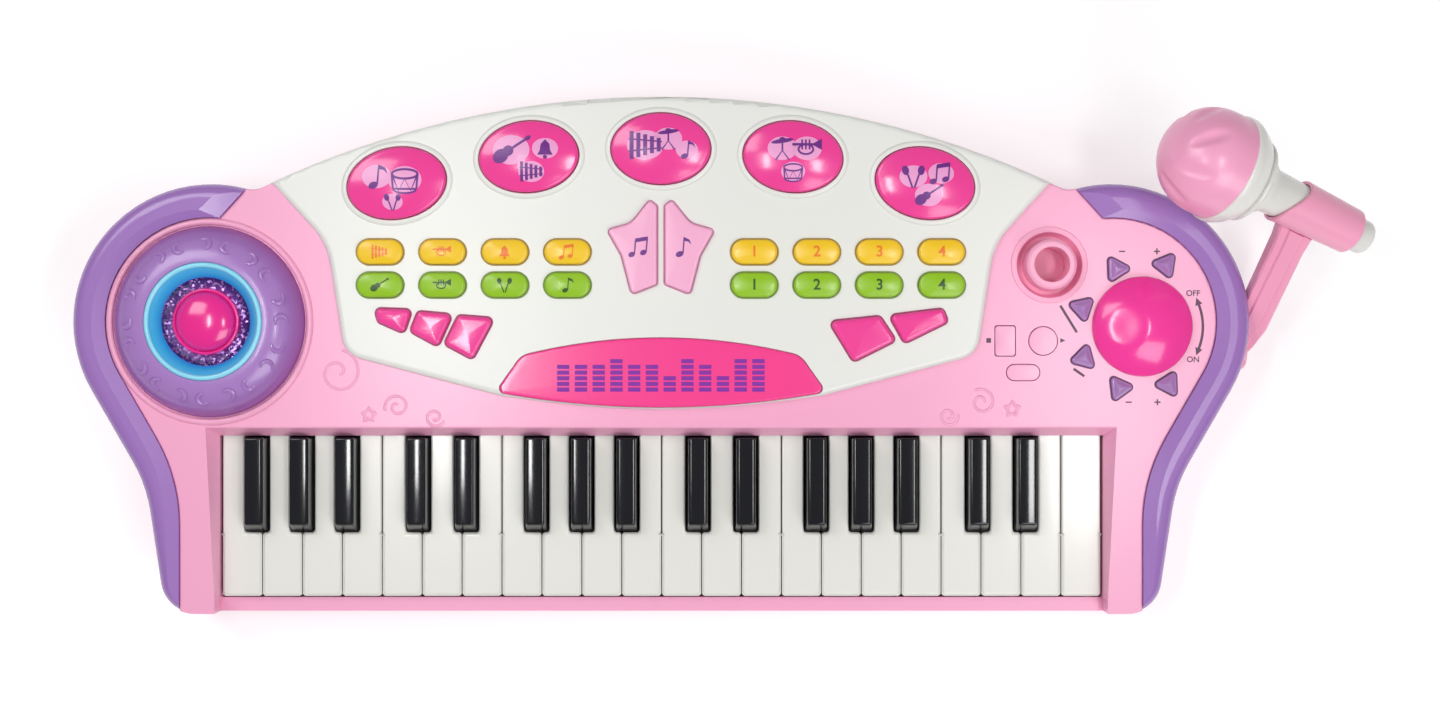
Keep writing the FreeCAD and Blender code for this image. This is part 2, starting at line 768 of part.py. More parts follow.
def trim_front_x():
    """Deck side of the right trim where it runs out at the front."""
    corner = cheek_frame()[2]
    return corner.x + CORNER_RADIUS * math.cos(math.radians(CHEEK_DEG)) - TRIM_FRONT_WIDTH


def deck_edges(shell):
    """Edges of the deck that are rounded: at the back, along the trims and behind the keys."""
    behind_keys = KEY_BACK + BAY_BACK_GAP + BAY_DRAFT_BACK - SEAT_GAP
    chosen = []
    for edge in top_edges(shell, 0):
        middle = edge.valueAt((edge.FirstParameter + edge.LastParameter) / 2)
        if middle.y > behind_keys or abs(middle.x) > trim_front_x() - SEAT_GAP:
            chosen.append(edge)
    return chosen


def upper_case():
    low = -PARTING_DROP
    shell = core_prism(0, low, 0).common(outline_prism(0, low, 0))
    shell = shell.fuse(outline_prism(0, low, -TRIM_SEAT_DROP))
    hollow = core_prism(WALL, low - OVERRUN, -WALL).common(outline_prism(WALL, low - OVERRUN, -WALL))
    shell = shell.cut(hollow)
    walls = fused(bay_walls()).common(outline_prism(0, low, 0))
    bosses = [cylinder(x, y, BOSS_RADIUS, low, -WALL / 2) for x, y in screw_places()]
    stakes = [cylinder(x, y, STAKE_RADIUS, -BOARD_DROP, -WALL / 2) for x, y in stake_places()]
    pin_low = -BOARD_DROP - BOARD_THICKNESS - STAKE_PIN_PROUD
    pins = [cylinder(x, y, STAKE_PIN_RADIUS, pin_low, -WALL / 2) for x, y in stake_places()]
    shell = shell.multiFuse([walls] + bosses + stakes + pins).cut(bay_cut()).removeSplitter().Solids[0]
    shell = shell.makeFillet(DECK_ROUND, deck_edges(shell)).fuse(round_rim(-BULGE_X))
    pilot = SCREW_RADIUS + SCREW_BITE_GAP
    cuts = panel_holes() + deck_holes()
    cuts += [cylinder(x, y, pilot, low - OVERRUN, -WALL - WALL / 2) for x, y in screw_places()]
    cuts.append(cylinder(KNOB_X, KNOB_Y, KNOB_SHAFT_RADIUS + RUNNING_GAP, -WALL - OVERRUN, OVERRUN))
    cuts.append(cylinder(SOCKET_X, SOCKET_Y, SOCKET_DISH_RADIUS + SEAT_GAP, -WALL - OVERRUN, OVERRUN))
    rim_clear = SOCKET_DISH_RADIUS + SOCKET_RIM + SEAT_GAP
    cuts.append(cylinder(SOCKET_X, SOCKET_Y, rim_clear, 0, OVERRUN))
    return shell.cut(cuts).removeSplitter()


def table_box(rise):
    """Half space of the panel's frame that lies more than rise above the table."""
    block = box(-SPAN, SPAN, -SPAN, SPAN, rise, SPAN)
    block.rotate(V(0, 0, 0), V(1, 0, 0), -TILT_DEG)
    block.translate(V(0, 0, -CASE_DEPTH))
    return block


def tub(inset):
    """Drafted bowl of the lower case, from the parting plane to well below the table."""
    slope = BASE_INSET / CASE_DEPTH
    low = -PARTING_DROP - CASE_DEPTH
    wires = [
        chain_wire(outline_arcs(), inset, -PARTING_DROP),
        chain_wire(outline_arcs(), inset + slope * CASE_DEPTH, low),
    ]
    return Part.makeLoft(wires, True, True)


def base_edges(solid):
    """Edges of the face that stands on the table."""
    normal = V(0, -math.sin(math.radians(TILT_DEG)), -math.cos(math.radians(TILT_DEG)))
    tolerance = math.sqrt(Part.Precision.confusion())
    base = [face for face in solid.Faces if face.normalAt(0, 0).getAngle(normal) < tolerance]
    return base[0].Edges


def hinge_parts():
    """Bar that the keys clip on to, with a post at each joint of white keys that has no black key."""
    half = WHITE_BED + POST_WIDTH
    deep = -CASE_DEPTH
    parts = [bar_x(-half, half, HINGE_Y, HINGE_Z, BAR_RADIUS)]
    places = [-WHITE_BED + POST_WIDTH / 2 - POST_WIDTH, WHITE_BED + POST_WIDTH / 2]
    for joint in range(1, WHITE_KEYS):
        if BLACK_PLACE_SHARES[(joint - 1) % len(BLACK_PLACE_SHARES)] is None:
            places.append(-WHITE_BED + joint * KEY_PITCH)
    for x in places:
        parts.append(box(x - POST_WIDTH / 2, x + POST_WIDTH / 2, HINGE_Y - POST_DEPTH / 2,
                         HINGE_Y + POST_DEPTH / 2, deep, HINGE_Z))
    return parts


def arm_seat_x():
    """Outer face of the lower case's pivot boss, just past the widest point of the trims."""
    return BULGE_X + BULGE_RADIUS + ARM_SIDE_GAP - FIT_GAP


def lower_case():
    outer = tub(0).common(table_box(0)).Solids[0]
    outer = outer.makeFillet(BASE_ROUND, base_edges(outer))
    inner = tub(WALL).common(table_box(FLOOR))
    case = outer.cut(inner)
    seat_x = arm_seat_x()
    boss = bar_x(seat_x - ARM_PEG_LENGTH + ARM_HEAD, seat_x, ARM_PIVOT_Y, ARM_PIVOT_Z, ARM_BOSS_RADIUS)
    wells = [cylinder(x, y, WELL_RADIUS, -DEEP, -PARTING_DROP) for x, y in screw_places()]
    solids = [shape.common(table_box(0)) for shape in wells + hinge_parts()]
    case = case.multiFuse(solids + [boss])
    seat = -PARTING_DROP - SCREW_SEAT
    cuts = [cylinder(x, y, SCREW_HEAD_RADIUS + SCREW_FREE_GAP, -DEEP, seat) for x, y in screw_places()]
    cuts += [cylinder(x, y, SCREW_RADIUS + SCREW_FREE_GAP, -DEEP, OVERRUN) for x, y in screw_places()]
    peg_hole = ARM_PEG_RADIUS + RUNNING_GAP
    peg_low = seat_x - ARM_PEG_LENGTH - OVERRUN
    cuts.append(bar_x(peg_low, seat_x + OVERRUN, ARM_PIVOT_Y, ARM_PIVOT_Z, peg_hole))
    return with_base(placed(case.cut(cuts)))


# Underside, in the frame of the table

def battery_span(grow):
    """Rectangle of the battery opening, grown on every side."""
    half_x = BATTERY_LENGTH / 2 + grow
    half_y = BATTERY_WIDTH / 2 + grow
    return BATTERY_X - half_x, BATTERY_X + half_x, BATTERY_Y - half_y, BATTERY_Y + half_y


def door_boss_centre():
    return battery_span(DOOR_TAB)[1], BATTERY_Y


def speaker_slots():
    slots = []
    for index in range(SLOTS):
        offset = (index - (SLOTS - 1) / 2) * SLOT_PITCH
        reach = math.sqrt(SLOT_REACH * SLOT_REACH - offset * offset)
        y = SPEAKER_Y + offset
        wire = oblong_wire(SPEAKER_X, y, reach * 2, SLOT_WIDTH, 0, -OVERRUN)
        slots.append(prism(wire, FLOOR + OVERRUN + OVERRUN))
    return slots


def with_base(case):
    """Add the battery box, the speaker's collar and the openings of the underside."""
    box_out = box(*battery_span(DOOR_LEDGE + BATTERY_WALL), 0, BATTERY_HEIGHT + BATTERY_WALL)
    room = box(*battery_span(DOOR_LEDGE), FLOOR, BATTERY_HEIGHT)
    sink = DOOR_SINK + DOOR_THICKNESS
    recess = box(*battery_span(DOOR_LEDGE), -OVERRUN, sink)
    opening = box(*battery_span(0), -OVERRUN, FLOOR + OVERRUN)
    boss_x, boss_y = door_boss_centre()
    screw_top = DOOR_SEAT + SCREW_LENGTH
    boss = cylinder(boss_x, boss_y, DOOR_BOSS_RADIUS + SEAT_GAP + BATTERY_WALL, 0, screw_top + BATTERY_WALL)
    pocket = cylinder(boss_x, boss_y, DOOR_BOSS_RADIUS + SEAT_GAP, -OVERRUN, DOOR_BOSS_HEIGHT)
    pilot = cylinder(boss_x, boss_y, SCREW_RADIUS + SCREW_BITE_GAP, 0, screw_top)
    tab_half = DOOR_BOSS_RADIUS + SEAT_GAP
    tab = box(BATTERY_X, boss_x, boss_y - tab_half, boss_y + tab_half, -OVERRUN, sink)
    collar_radius = SPEAKER_RADIUS + SEAT_GAP
    collar = cylinder(SPEAKER_X, SPEAKER_Y, collar_radius + SPEAKER_WALL, 0, FLOOR + SPEAKER_WALL_HEIGHT)
    collar = collar.cut(cylinder(SPEAKER_X, SPEAKER_Y, collar_radius, FLOOR, FLOOR + SPEAKER_WALL_HEIGHT))
    case = case.multiFuse([box_out, boss, collar])
    return case.cut([room, recess, opening, pocket, pilot, tab] + speaker_slots()).removeSplitter()


def battery_door():
    sink = DOOR_SINK + DOOR_THICKNESS
    plate = box(*battery_span(DOOR_LEDGE - SEAT_GAP), DOOR_SINK, sink)
    boss_x, boss_y = door_boss_centre()
    tab = box(BATTERY_X, boss_x, boss_y - DOOR_BOSS_RADIUS, boss_y + DOOR_BOSS_RADIUS, DOOR_SINK, sink)
    boss = cylinder(boss_x, boss_y, DOOR_BOSS_RADIUS, DOOR_SINK, DOOR_BOSS_HEIGHT)
    door = fused([plate, tab, boss])
    seat = cylinder(boss_x, boss_y, SCREW_HEAD_RADIUS + SCREW_FREE_GAP, 0, DOOR_SEAT)
    free = cylinder(boss_x, boss_y, SCREW_RADIUS + SCREW_FREE_GAP, 0, DOOR_BOSS_HEIGHT + OVERRUN)
    grips = []
    grip_low = battery_span(-DOOR_TAB)[0]
    for index in range(DOOR_RIBS):
        x = grip_low + DOOR_RIB * (1 + 2 * index)
        grips.append(box(x, x + DOOR_RIB, BATTERY_Y - DOOR_TAB, BATTERY_Y + DOOR_TAB, 0, sink - DOOR_RIB))
    return door.cut([seat, free] + grips).removeSplitter()


def screw(x, y, seat, length):
    head = cylinder(x, y, SCREW_HEAD_RADIUS, seat - SCREW_HEAD, seat)
    shank = cylinder(x, y, SCREW_RADIUS, seat, seat + length)
    return head.fuse(shank).removeSplitter()


def case_screws():
    seat = -PARTING_DROP - SCREW_SEAT
    screws = [placed(screw(x, y, seat, SCREW_LENGTH)) for x, y in screw_places()]
    boss_x, boss_y = door_boss_centre()
    screws.append(screw(boss_x, boss_y, DOOR_SEAT, SCREW_LENGTH - FIT_GAP))
    return screws


def loudspeaker():
    top = FLOOR + SPEAKER_HEIGHT
    magnet_low = top - SPEAKER_MAGNET
    rim = SPEAKER_RADIUS - SPEAKER_WALL - SPEAKER_WALL
    flange_top = FLOOR + SPEAKER_FLANGE
    profile = profile_edges([
        (SPEAKER_RADIUS, FLOOR), (SPEAKER_RADIUS, flange_top), (rim + SPEAKER_WALL, flange_top),
        (SPEAKER_CONE_RADIUS, magnet_low), (SPEAKER_CONE_RADIUS, top), (0, top),
        (0, magnet_low), (rim, FLOOR),
    ])
    return turned(profile, SPEAKER_X, SPEAKER_Y)


# Lamp, socket, knob and board

def speaker_ring():
    hollow = RING_THICKNESS
    lip = LAMP_RADIUS + SEAT_GAP
    span = RING_RADIUS - lip
    belly = lip + span * RING_BELLY_SHARE
    belly_rise = RING_RISE * RING_BELLY_RISE_SHARE
    shelf = RING_SHELF_RISE
    inside_top = RING_RISE - hollow - hollow
    profile = profile_edges([
        ((RING_RADIUS, 0), (belly, belly_rise), (lip, RING_RISE)),
        (lip, shelf), (lip - RING_SHELF, shelf), (lip - RING_SHELF, shelf - hollow),
        (lip + hollow, shelf - hollow),
        ((lip + hollow, inside_top), (belly - hollow, belly_rise - hollow), (RING_RADIUS - hollow, 0)),
    ])
    return turned(profile, -BULGE_X, BULGE_Y)


def lamp_ring():
    low = RING_SHELF_RISE
    top = RING_RISE + LAMP_LIP_RISE
    profile = profile_edges([
        (LAMP_RADIUS, low), (LAMP_RADIUS, top), (LAMP_RADIUS - LAMP_LIP, top), (LAMP_INNER_RADIUS, low),
    ])
    return turned(profile, -BULGE_X, BULGE_Y)


def lamp_dome():
    """Glitter bowl that stands on the deck inside the ring, and the dome on the bowl's floor."""
    outer = LAMP_RADIUS - RING_SHELF - SEAT_GAP
    top = RING_SHELF_RISE
    bowl = turned(profile_edges([
        (outer, 0), (outer, top), (LAMP_INNER_RADIUS, top), (DOME_RADIUS, BOWL_FLOOR), (0, BOWL_FLOOR),
        (0, BOWL_FLOOR - BOWL_WALL), (outer - BOWL_WALL, BOWL_FLOOR - BOWL_WALL), (outer - BOWL_WALL, 0),
    ]), -BULGE_X, BULGE_Y)
    ball = (DOME_RADIUS * DOME_RADIUS + DOME_HEIGHT * DOME_HEIGHT) / (2 * DOME_HEIGHT)
    half = math.asin(DOME_RADIUS / ball) / 2
    middle = (ball * math.sin(half), BOWL_FLOOR + DOME_HEIGHT - ball * (1 - math.cos(half)))
    crown = (0, BOWL_FLOOR + DOME_HEIGHT)
    cap_profile = profile_edges([((DOME_RADIUS, BOWL_FLOOR), middle, crown), (0, BOWL_FLOOR)])
    dome = turned(cap_profile, -BULGE_X, BULGE_Y)
    return [bowl, dome]


def mic_socket():
    dish = SOCKET_DISH_RADIUS
    floor = -SOCKET_FLOOR_DROP
    post = SOCKET_POST_RADIUS
    top = SOCKET_POST_RISE
    bore = SOCKET_BORE_RADIUS
    bottom = top - SOCKET_BORE_LENGTH
    edge = SOCKET_EDGE
    profile = profile_edges([
        (dish, floor - WALL), (dish, 0), (dish + SOCKET_RIM, 0), (dish + SOCKET_RIM, SOCKET_RIM_RISE),
        (dish - edge, SOCKET_RIM_RISE), (dish - edge, 0), (dish - WALL, floor), (post, floor),
        (post, top - edge), (post - edge, top), (bore, top), (bore, bottom), (0, bottom),
        (0, bottom - WALL), (post, bottom - WALL), (post, floor - WALL),
    ])
    return turned(profile, SOCKET_X, SOCKET_Y)


def power_knob():
    radius = KNOB_RADIUS
    crown = KNOB_HEIGHT
    rise = crown - KNOB_SKIRT
    ball = (radius * radius + rise * rise) / (2 * rise)
    half = math.asin(radius / ball) / 2
    middle = (ball * math.sin(half), crown - ball * (1 - math.cos(half)))
    shaft_low = -WALL - FIT_GAP - KNOB_COLLAR
    knob = turned(profile_edges([
        (radius, FIT_GAP), ((radius, KNOB_SKIRT), middle, (0, crown)), (0, shaft_low),
        (KNOB_COLLAR_RADIUS, shaft_low), (KNOB_COLLAR_RADIUS, -WALL - FIT_GAP),
        (KNOB_SHAFT_RADIUS, -WALL - FIT_GAP), (KNOB_SHAFT_RADIUS, FIT_GAP),
    ]), KNOB_X, KNOB_Y)
    reach = radius * KNOB_DIMPLE_SHARE
    surface = crown - ball + math.sqrt(ball * ball - reach * reach)
    dimple_z = surface + KNOB_DIMPLE_RADIUS - KNOB_DIMPLE_DEPTH
    dimple = Part.makeSphere(KNOB_DIMPLE_RADIUS, V(KNOB_X - reach, KNOB_Y, dimple_z))
    return knob.cut(dimple)


def circuit_board():
    high = -BOARD_DROP
    board = box(-BOARD_HALF_LENGTH, BOARD_HALF_LENGTH, BOARD_FRONT, BOARD_BACK, high - BOARD_THICKNESS, high)
    pin = STAKE_PIN_RADIUS + STAKE_PIN_GAP
    return board.cut([cylinder(x, y, pin, high - OVERRUN, high + OVERRUN) for x, y in stake_places()])


# Keys

def hook(x):
    """Clip that snaps over the hinge bar from above, with the arm that joins it to the key."""
    low = x - HOOK_WIDTH / 2
    high = x + HOOK_WIDTH / 2
    eye = bar_x(low, high, HINGE_Y, HINGE_Z, HOOK_RADIUS)
    arm = box(low, high, KEY_TAIL, HINGE_Y, HINGE_Z - BAR_RADIUS, HINGE_Z + HOOK_RADIUS)
    bore = bar_x(low, high, HINGE_Y, HINGE_Z, BAR_RADIUS + BAR_GAP)
    mouth = box(low, high, HINGE_Y - HOOK_MOUTH / 2, HINGE_Y + HOOK_MOUTH / 2, HINGE_Z - HOOK_RADIUS, HINGE_Z)
    return eye.fuse(arm).cut([bore, mouth])


def black_centres():
    """Middle of each black key, with the number of the white key on its left."""
    centres = []
    for joint in range(1, WHITE_KEYS):
        share = BLACK_PLACE_SHARES[(joint - 1) % len(BLACK_PLACE_SHARES)]
        if share is not None:
            centres.append((joint - 1, -WHITE_BED + (joint + share) * KEY_PITCH))
    return centres


def white_key(index):
    left = -WHITE_BED + index * KEY_PITCH + KEY_GAP / 2
    right = left + KEY_PITCH - KEY_GAP
    low = WHITE_TOP - WHITE_HEIGHT
    room = BLACK_WIDTH / 2 + BLACK_SIDE_GAP
    stem_left = left
    stem_right = right
    for number, centre in black_centres():
        if number == index:
            stem_right = centre - room
        if number == index - 1:
            stem_left = centre + room
    notch = BLACK_FRONT - BLACK_SIDE_GAP
    front = box(left, right, KEY_FRONT, notch, low, WHITE_TOP)
    front = front.makeChamfer(WHITE_EASE, top_edges(front, WHITE_TOP))
    stem = box(stem_left, stem_right, notch - WHITE_EASE, KEY_TAIL, low, WHITE_TOP)
    key = fused([front, stem, hook((stem_left + stem_right) / 2)])
    inside = WHITE_TOP - KEY_SHELL
    hollow = box(left + KEY_SHELL, right - KEY_SHELL, KEY_FRONT + KEY_SHELL, notch - KEY_SHELL, low, inside)
    return key.cut(hollow)


def black_key(centre):
    half = BLACK_WIDTH / 2
    top_half = BLACK_TOP_WIDTH / 2
    back = KEY_BACK - BAY_BACK_GAP
    low = [(-half, BLACK_FRONT), (half, BLACK_FRONT), (half, back), (-half, back)]
    nose = BLACK_FRONT + BLACK_NOSE
    high = [(-top_half, nose), (top_half, nose), (top_half, back), (-top_half, back)]
    wires = []
    for corners, z in ((low, WHITE_TOP), (high, BLACK_TOP)):
        points = [V(centre + x, y, z) for x, y in corners]
        wires.append(Part.makePolygon(points + points[:1]))
    crest = Part.makeLoft(wires, True, True)
    body = box(centre - half, centre + half, BLACK_FRONT, back, BLACK_BOTTOM, WHITE_TOP)
    tail = box(centre - half, centre + half, back, KEY_TAIL, BLACK_BOTTOM, BLACK_TAIL_TOP)
    return fused([crest, body, tail, hook(centre)])


# Microphone and arm

def mic_frame(shape):
    """Turn a piece drawn along +z, with z = 0 at the middle of the clip, on to the microphone's axis."""
    direction = unit(V(*MIC_DIRECTION_SHARES))
    turn = FreeCAD.Rotation(UP, direction)
    shape = shape.copy()
    shape.Placement = FreeCAD.Placement(V(*MIC_CLIP), turn).multiply(shape.Placement)
    return shape


def handle_radius(z):
    """Radius of the tapered handle at a distance along the axis from the middle of the clip."""
    share = (z + MIC_HANDLE_LENGTH / 2) / MIC_HANDLE_LENGTH
    return MIC_TAIL_RADIUS + (MIC_HANDLE_RADIUS - MIC_TAIL_RADIUS) * share


def microphone():
    low = -MIC_HANDLE_LENGTH / 2
    neck = MIC_HANDLE_LENGTH / 2
    cap_low = neck + MIC_NECK_LENGTH
    bead_low = cap_low - MIC_BEAD_LENGTH
    bead_middle = (bead_low + cap_low) / 2
    cap_top = cap_low + MIC_CAP_LENGTH
    centre = cap_top + math.sqrt(MIC_CAP_RADIUS * MIC_CAP_RADIUS - MIC_HEAD_RADIUS * MIC_HEAD_RADIUS)
    crown = centre + MIC_HEAD_RADIUS
    slant = MIC_HEAD_RADIUS * math.sqrt(2) / 2
    handle = turned(profile_edges([
        (0, low - MIC_TIP_LENGTH), (MIC_TIP_RADIUS, low - MIC_TIP_LENGTH), (MIC_TIP_RADIUS, low),
        (MIC_TAIL_RADIUS, low), (MIC_HANDLE_RADIUS, neck), (MIC_NECK_RADIUS, bead_low),
        ((MIC_GROOVE_RADIUS, bead_low), (MIC_BEAD_RADIUS, bead_middle), (MIC_GROOVE_RADIUS, cap_low)),
        (MIC_CAP_RADIUS, cap_low + MIC_CAP_SLOPE), (MIC_CAP_RADIUS, cap_top), (0, cap_top),
    ]), 0, 0)
    ball = turned(profile_edges([
        (0, cap_top), (MIC_HEAD_RADIUS, cap_top),
        ((MIC_HEAD_RADIUS, centre), (slant, centre + slant), (0, crown)),
    ]), 0, 0)
    return [mic_frame(handle), mic_frame(ball)]


def clip_cone(grow, overrun):
    """Cone about the handle along the clip sleeve, whose head end stops just short of the flared neck."""
    high = MIC_HANDLE_LENGTH / 2 - FIT_GAP + overrun
    low = MIC_HANDLE_LENGTH / 2 - FIT_GAP - SLEEVE_LENGTH - overrun
    gap = MIC_GAP + grow
    low_radius = handle_radius(low) + gap
    high_radius = handle_radius(high) + gap
    return mic_frame(Part.makeCone(low_radius, high_radius, high - low, V(0, 0, low)))


def arm_spine():
    """Pivot and clip ends of the arm's centre line, and the inner face of its hub."""
    inner = arm_seat_x() + FIT_GAP
    pivot = V(inner + ARM_HUB_WIDTH / 2, ARM_PIVOT_Y, ARM_PIVOT_Z)
    return inner, pivot, V(*MIC_CLIP)


def arm_section(centre, along, width, thickness):
    """Section across the arm, with a low ridge along the face that looks up."""
    depth = unit(along.cross(V(1, 0, 0)))
    half_width = unit(depth.cross(along)) * (width / 2)
    half_thick = depth * (thickness / 2)
    corners = [
        centre - half_width + half_thick, centre + half_width + half_thick, centre + half_width - half_thick,
        centre - half_thick - depth * ARM_RIDGE, centre - half_width - half_thick,
    ]
    return Part.makePolygon(corners + corners[:1])


def sleeve_scoop():
    """Block that cuts the head end of the clip sleeve on a slant, so that it is longer below than above."""
    direction = unit(V(*MIC_DIRECTION_SHARES))
    upper_side = unit(direction.cross(UP))
    radius = MIC_HANDLE_RADIUS + MIC_GAP + SLEEVE_WALL
    slope = SLEEVE_SCOOP / (radius + radius)
    middle = V(*MIC_CLIP) + direction * (MIC_HANDLE_LENGTH / 2 - SLEEVE_SCOOP / 2)
    block = Part.makeCylinder(SLEEVE_LENGTH, SLEEVE_LENGTH, V(0, 0, 0), UP)
    block.Placement = FreeCAD.Placement(middle, FreeCAD.Rotation(UP, unit(direction + upper_side * slope)))
    return block


def mic_arm():
    inner, pivot, clip = arm_spine()
    along = unit(clip - pivot)
    waist = pivot + (clip - pivot) * ARM_WAIST_SHARE
    wires = [
        arm_section(pivot, along, ARM_HUB_WIDTH, ARM_THICKNESS),
        arm_section(waist, along, ARM_WAIST_WIDTH, ARM_THICKNESS),
        arm_section(clip, along, ARM_TOP_WIDTH, ARM_THICKNESS),
    ]
    beam = Part.makeLoft(wires, True, True)
    hub = bar_x(inner, inner + ARM_HUB_WIDTH, ARM_PIVOT_Y, ARM_PIVOT_Z, ARM_HUB_RADIUS)
    peg_low = inner - FIT_GAP - ARM_PEG_LENGTH
    peg = bar_x(peg_low, inner, ARM_PIVOT_Y, ARM_PIVOT_Z, ARM_PEG_RADIUS)
    stop = bar_x(peg_low, peg_low + ARM_HEAD - FIT_GAP, ARM_PIVOT_Y, ARM_PIVOT_Z, ARM_HEAD_RADIUS)
    sleeve = clip_cone(SLEEVE_WALL, 0).cut(sleeve_scoop())
    arm = fused([beam, hub, peg, stop, sleeve])
    return arm.cut(clip_cone(0, OVERRUN))


def main():
    os.makedirs("parts", exist_ok=True)
    single = {
        "upper_case": upper_case(), "control_panel": control_panel(), "display_lens": display_lens(),
        "speaker_ring": speaker_ring(), "lamp_ring": lamp_ring(), "mic_socket": mic_socket(),
        "power_knob": power_knob(), "circuit_board": circuit_board(), "mic_arm": mic_arm(),
    }
    for index in range(WHITE_KEYS):
        single["white_key_%02d" % (index + 1)] = white_key(index)
    for index, (number, centre) in enumerate(black_centres()):
        single["black_key_%02d" % (index + 1)] = black_key(centre)
    panel_top = PANEL_RISE + CAP_PROUD
    groups = {
        "side_trims": side_trims(), "lamp_dome": lamp_dome(), "microphone": microphone(),
        "drum_pads": [cap(outline, PANEL_RISE + PAD_PROUD, PAD_EASE) for outline in pad_outlines()],
        "tone_buttons": [cap(outline, panel_top, CAP_EASE) for outline in tone_outlines(TONE_ROW)],
        "rhythm_buttons": [cap(outline, panel_top, CAP_EASE) for outline in tone_outlines(RHYTHM_ROW)],
        "star_buttons": [cap(outline, panel_top, CAP_EASE) for outline in star_outlines()],
        "wedge_buttons": [cap(outline, panel_top, CAP_EASE) for outline in wedge_outlines()],
        "triangle_buttons": [cap(outline, TRIANGLE_PROUD, CAP_EASE) for outline in triangle_outlines()],
        "record_buttons": [cap(outline, FLUSH_PROUD, FLUSH_EASE) for outline in record_outlines()],
    }
    for name, shape in single.items():
        save(name, [placed(shape)])
    for name, shapes in groups.items():
        save(name, [placed(shape) for shape in shapes])
    save("lower_case", [lower_case()])
    save("battery_door", [battery_door()])
    save("case_screws", case_screws())
    save("loudspeaker", [loudspeaker()])


main()
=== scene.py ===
"""Looks of the toy piano: moulded pieces, prints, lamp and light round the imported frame."""
import json
import math

import bmesh
import bpy
from mathutils import Color, Matrix, Vector
from mathutils.bvhtree import BVHTree

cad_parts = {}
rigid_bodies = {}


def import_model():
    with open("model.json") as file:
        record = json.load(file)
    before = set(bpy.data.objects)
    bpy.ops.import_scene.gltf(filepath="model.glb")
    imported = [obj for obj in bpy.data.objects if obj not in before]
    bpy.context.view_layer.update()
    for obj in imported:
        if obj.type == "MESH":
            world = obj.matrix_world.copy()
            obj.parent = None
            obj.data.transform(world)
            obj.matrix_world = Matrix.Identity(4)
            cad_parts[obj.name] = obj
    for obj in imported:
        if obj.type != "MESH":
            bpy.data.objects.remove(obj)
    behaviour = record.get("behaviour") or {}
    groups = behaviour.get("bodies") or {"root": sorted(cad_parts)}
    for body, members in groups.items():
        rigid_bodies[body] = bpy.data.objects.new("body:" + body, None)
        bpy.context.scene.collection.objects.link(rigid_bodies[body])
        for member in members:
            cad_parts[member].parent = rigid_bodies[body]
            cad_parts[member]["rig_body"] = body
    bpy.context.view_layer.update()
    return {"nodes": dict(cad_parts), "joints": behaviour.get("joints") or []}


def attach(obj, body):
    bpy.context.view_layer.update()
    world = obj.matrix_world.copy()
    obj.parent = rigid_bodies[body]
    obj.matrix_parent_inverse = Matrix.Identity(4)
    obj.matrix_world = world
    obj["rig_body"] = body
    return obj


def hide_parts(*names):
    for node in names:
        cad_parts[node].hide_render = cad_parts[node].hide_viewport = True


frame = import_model()

# The panel's own frame: x to the right, y to the back, z off the deck, in millimetres
MM = 0.001
UP = Vector((0, 0, 1))
QUARTER_TURN = math.pi / 2
FULL_TURN = 2 * math.pi
JOINTS = {joint["name"]: joint for joint in frame["joints"]}
NORMAL = Vector(JOINTS["power_turn"]["axis"])
DECK_HEIGHT = Vector(JOINTS["power_turn"]["pos_m"]).dot(NORMAL)
TILT = Matrix.Rotation(math.atan2(-NORMAL.y, NORMAL.z), 4, "X")
PANEL = TILT @ Matrix.Translation((0, 0, DECK_HEIGHT)) @ Matrix.Scale(MM, 4)
FLAT = PANEL.inverted()

# Meshes
WELD = 0.002
FLAT_ANGLE = math.radians(0.3)
EASE_ANGLE = math.radians(42.0)
SHARP_COSINE = math.cos(math.radians(40.0))
HIDDEN_COSINE = math.cos(math.radians(120.0))
EASE_STEPS = 4
EASE_PROFILE_SHARE = 0.5
LEVEL_DIGITS = 1
OUTLINE_SPACING = 0.6
PILLOW_SHARES = (0.95, 0.88, 0.78, 0.64, 0.46, 0.24)
TURN_STEPS = 128

# Eases of the moulded edges, and the crown of the black keys
KEY_EASE = 0.9
PANEL_EASE = 0.3
SMALL_EASE = 0.4
BLACK_CROWN = 0.18
CROWN_CUTS = 12
CROWN_REACH = 3.0


# Shader and geometry nodes

def linear(code):
    """sRGB hex as the linear colour that the shaders take."""
    shares = [int(code[at:at + 2], 16) / 255 for at in (1, 3, 5)]
    return [*Color(shares).from_srgb_to_scene_linear(), 1]


def add_node(tree, kind, inputs=(), **settings):
    """Adds a node with its settings; an input is a value, or a socket to link from."""
    made = tree.nodes.new(kind)
    for field, value in settings.items():
        setattr(made, field, value)
    for key, value in dict(inputs).items():
        if isinstance(value, bpy.types.NodeSocket):
            tree.links.new(value, made.inputs[key])
        else:
            made.inputs[key].default_value = value
    return made


def maths(tree, operation, *values):
    """Result of a sum on numbers or sockets."""
    return add_node(tree, "ShaderNodeMath", enumerate(values), operation=operation).outputs[0]


def mixed(tree, share, first, second):
    """A colour between two; 6, 7 and 2 are the mix node's sockets for colours."""
    return add_node(tree, "ShaderNodeMix", {0: share, 6: first, 7: second}, data_type="RGBA").outputs[2]


def ranged(tree, share, low, high):
    """A share from 0 to 1, spread between two values."""
    return add_node(tree, "ShaderNodeMapRange", {"Value": share, "To Min": low, "To Max": high}).outputs[0]


def per_metre(size):
    """Texture scale at which a pattern's features are this many millimetres across."""
    return 1 / (size * MM)


def noise(tree, place, size, **inputs):
    """A soft random pattern with features of a size."""
    inputs.update(Vector=place, Scale=per_metre(size))
    return add_node(tree, "ShaderNodeTexNoise", inputs).outputs["Fac"]


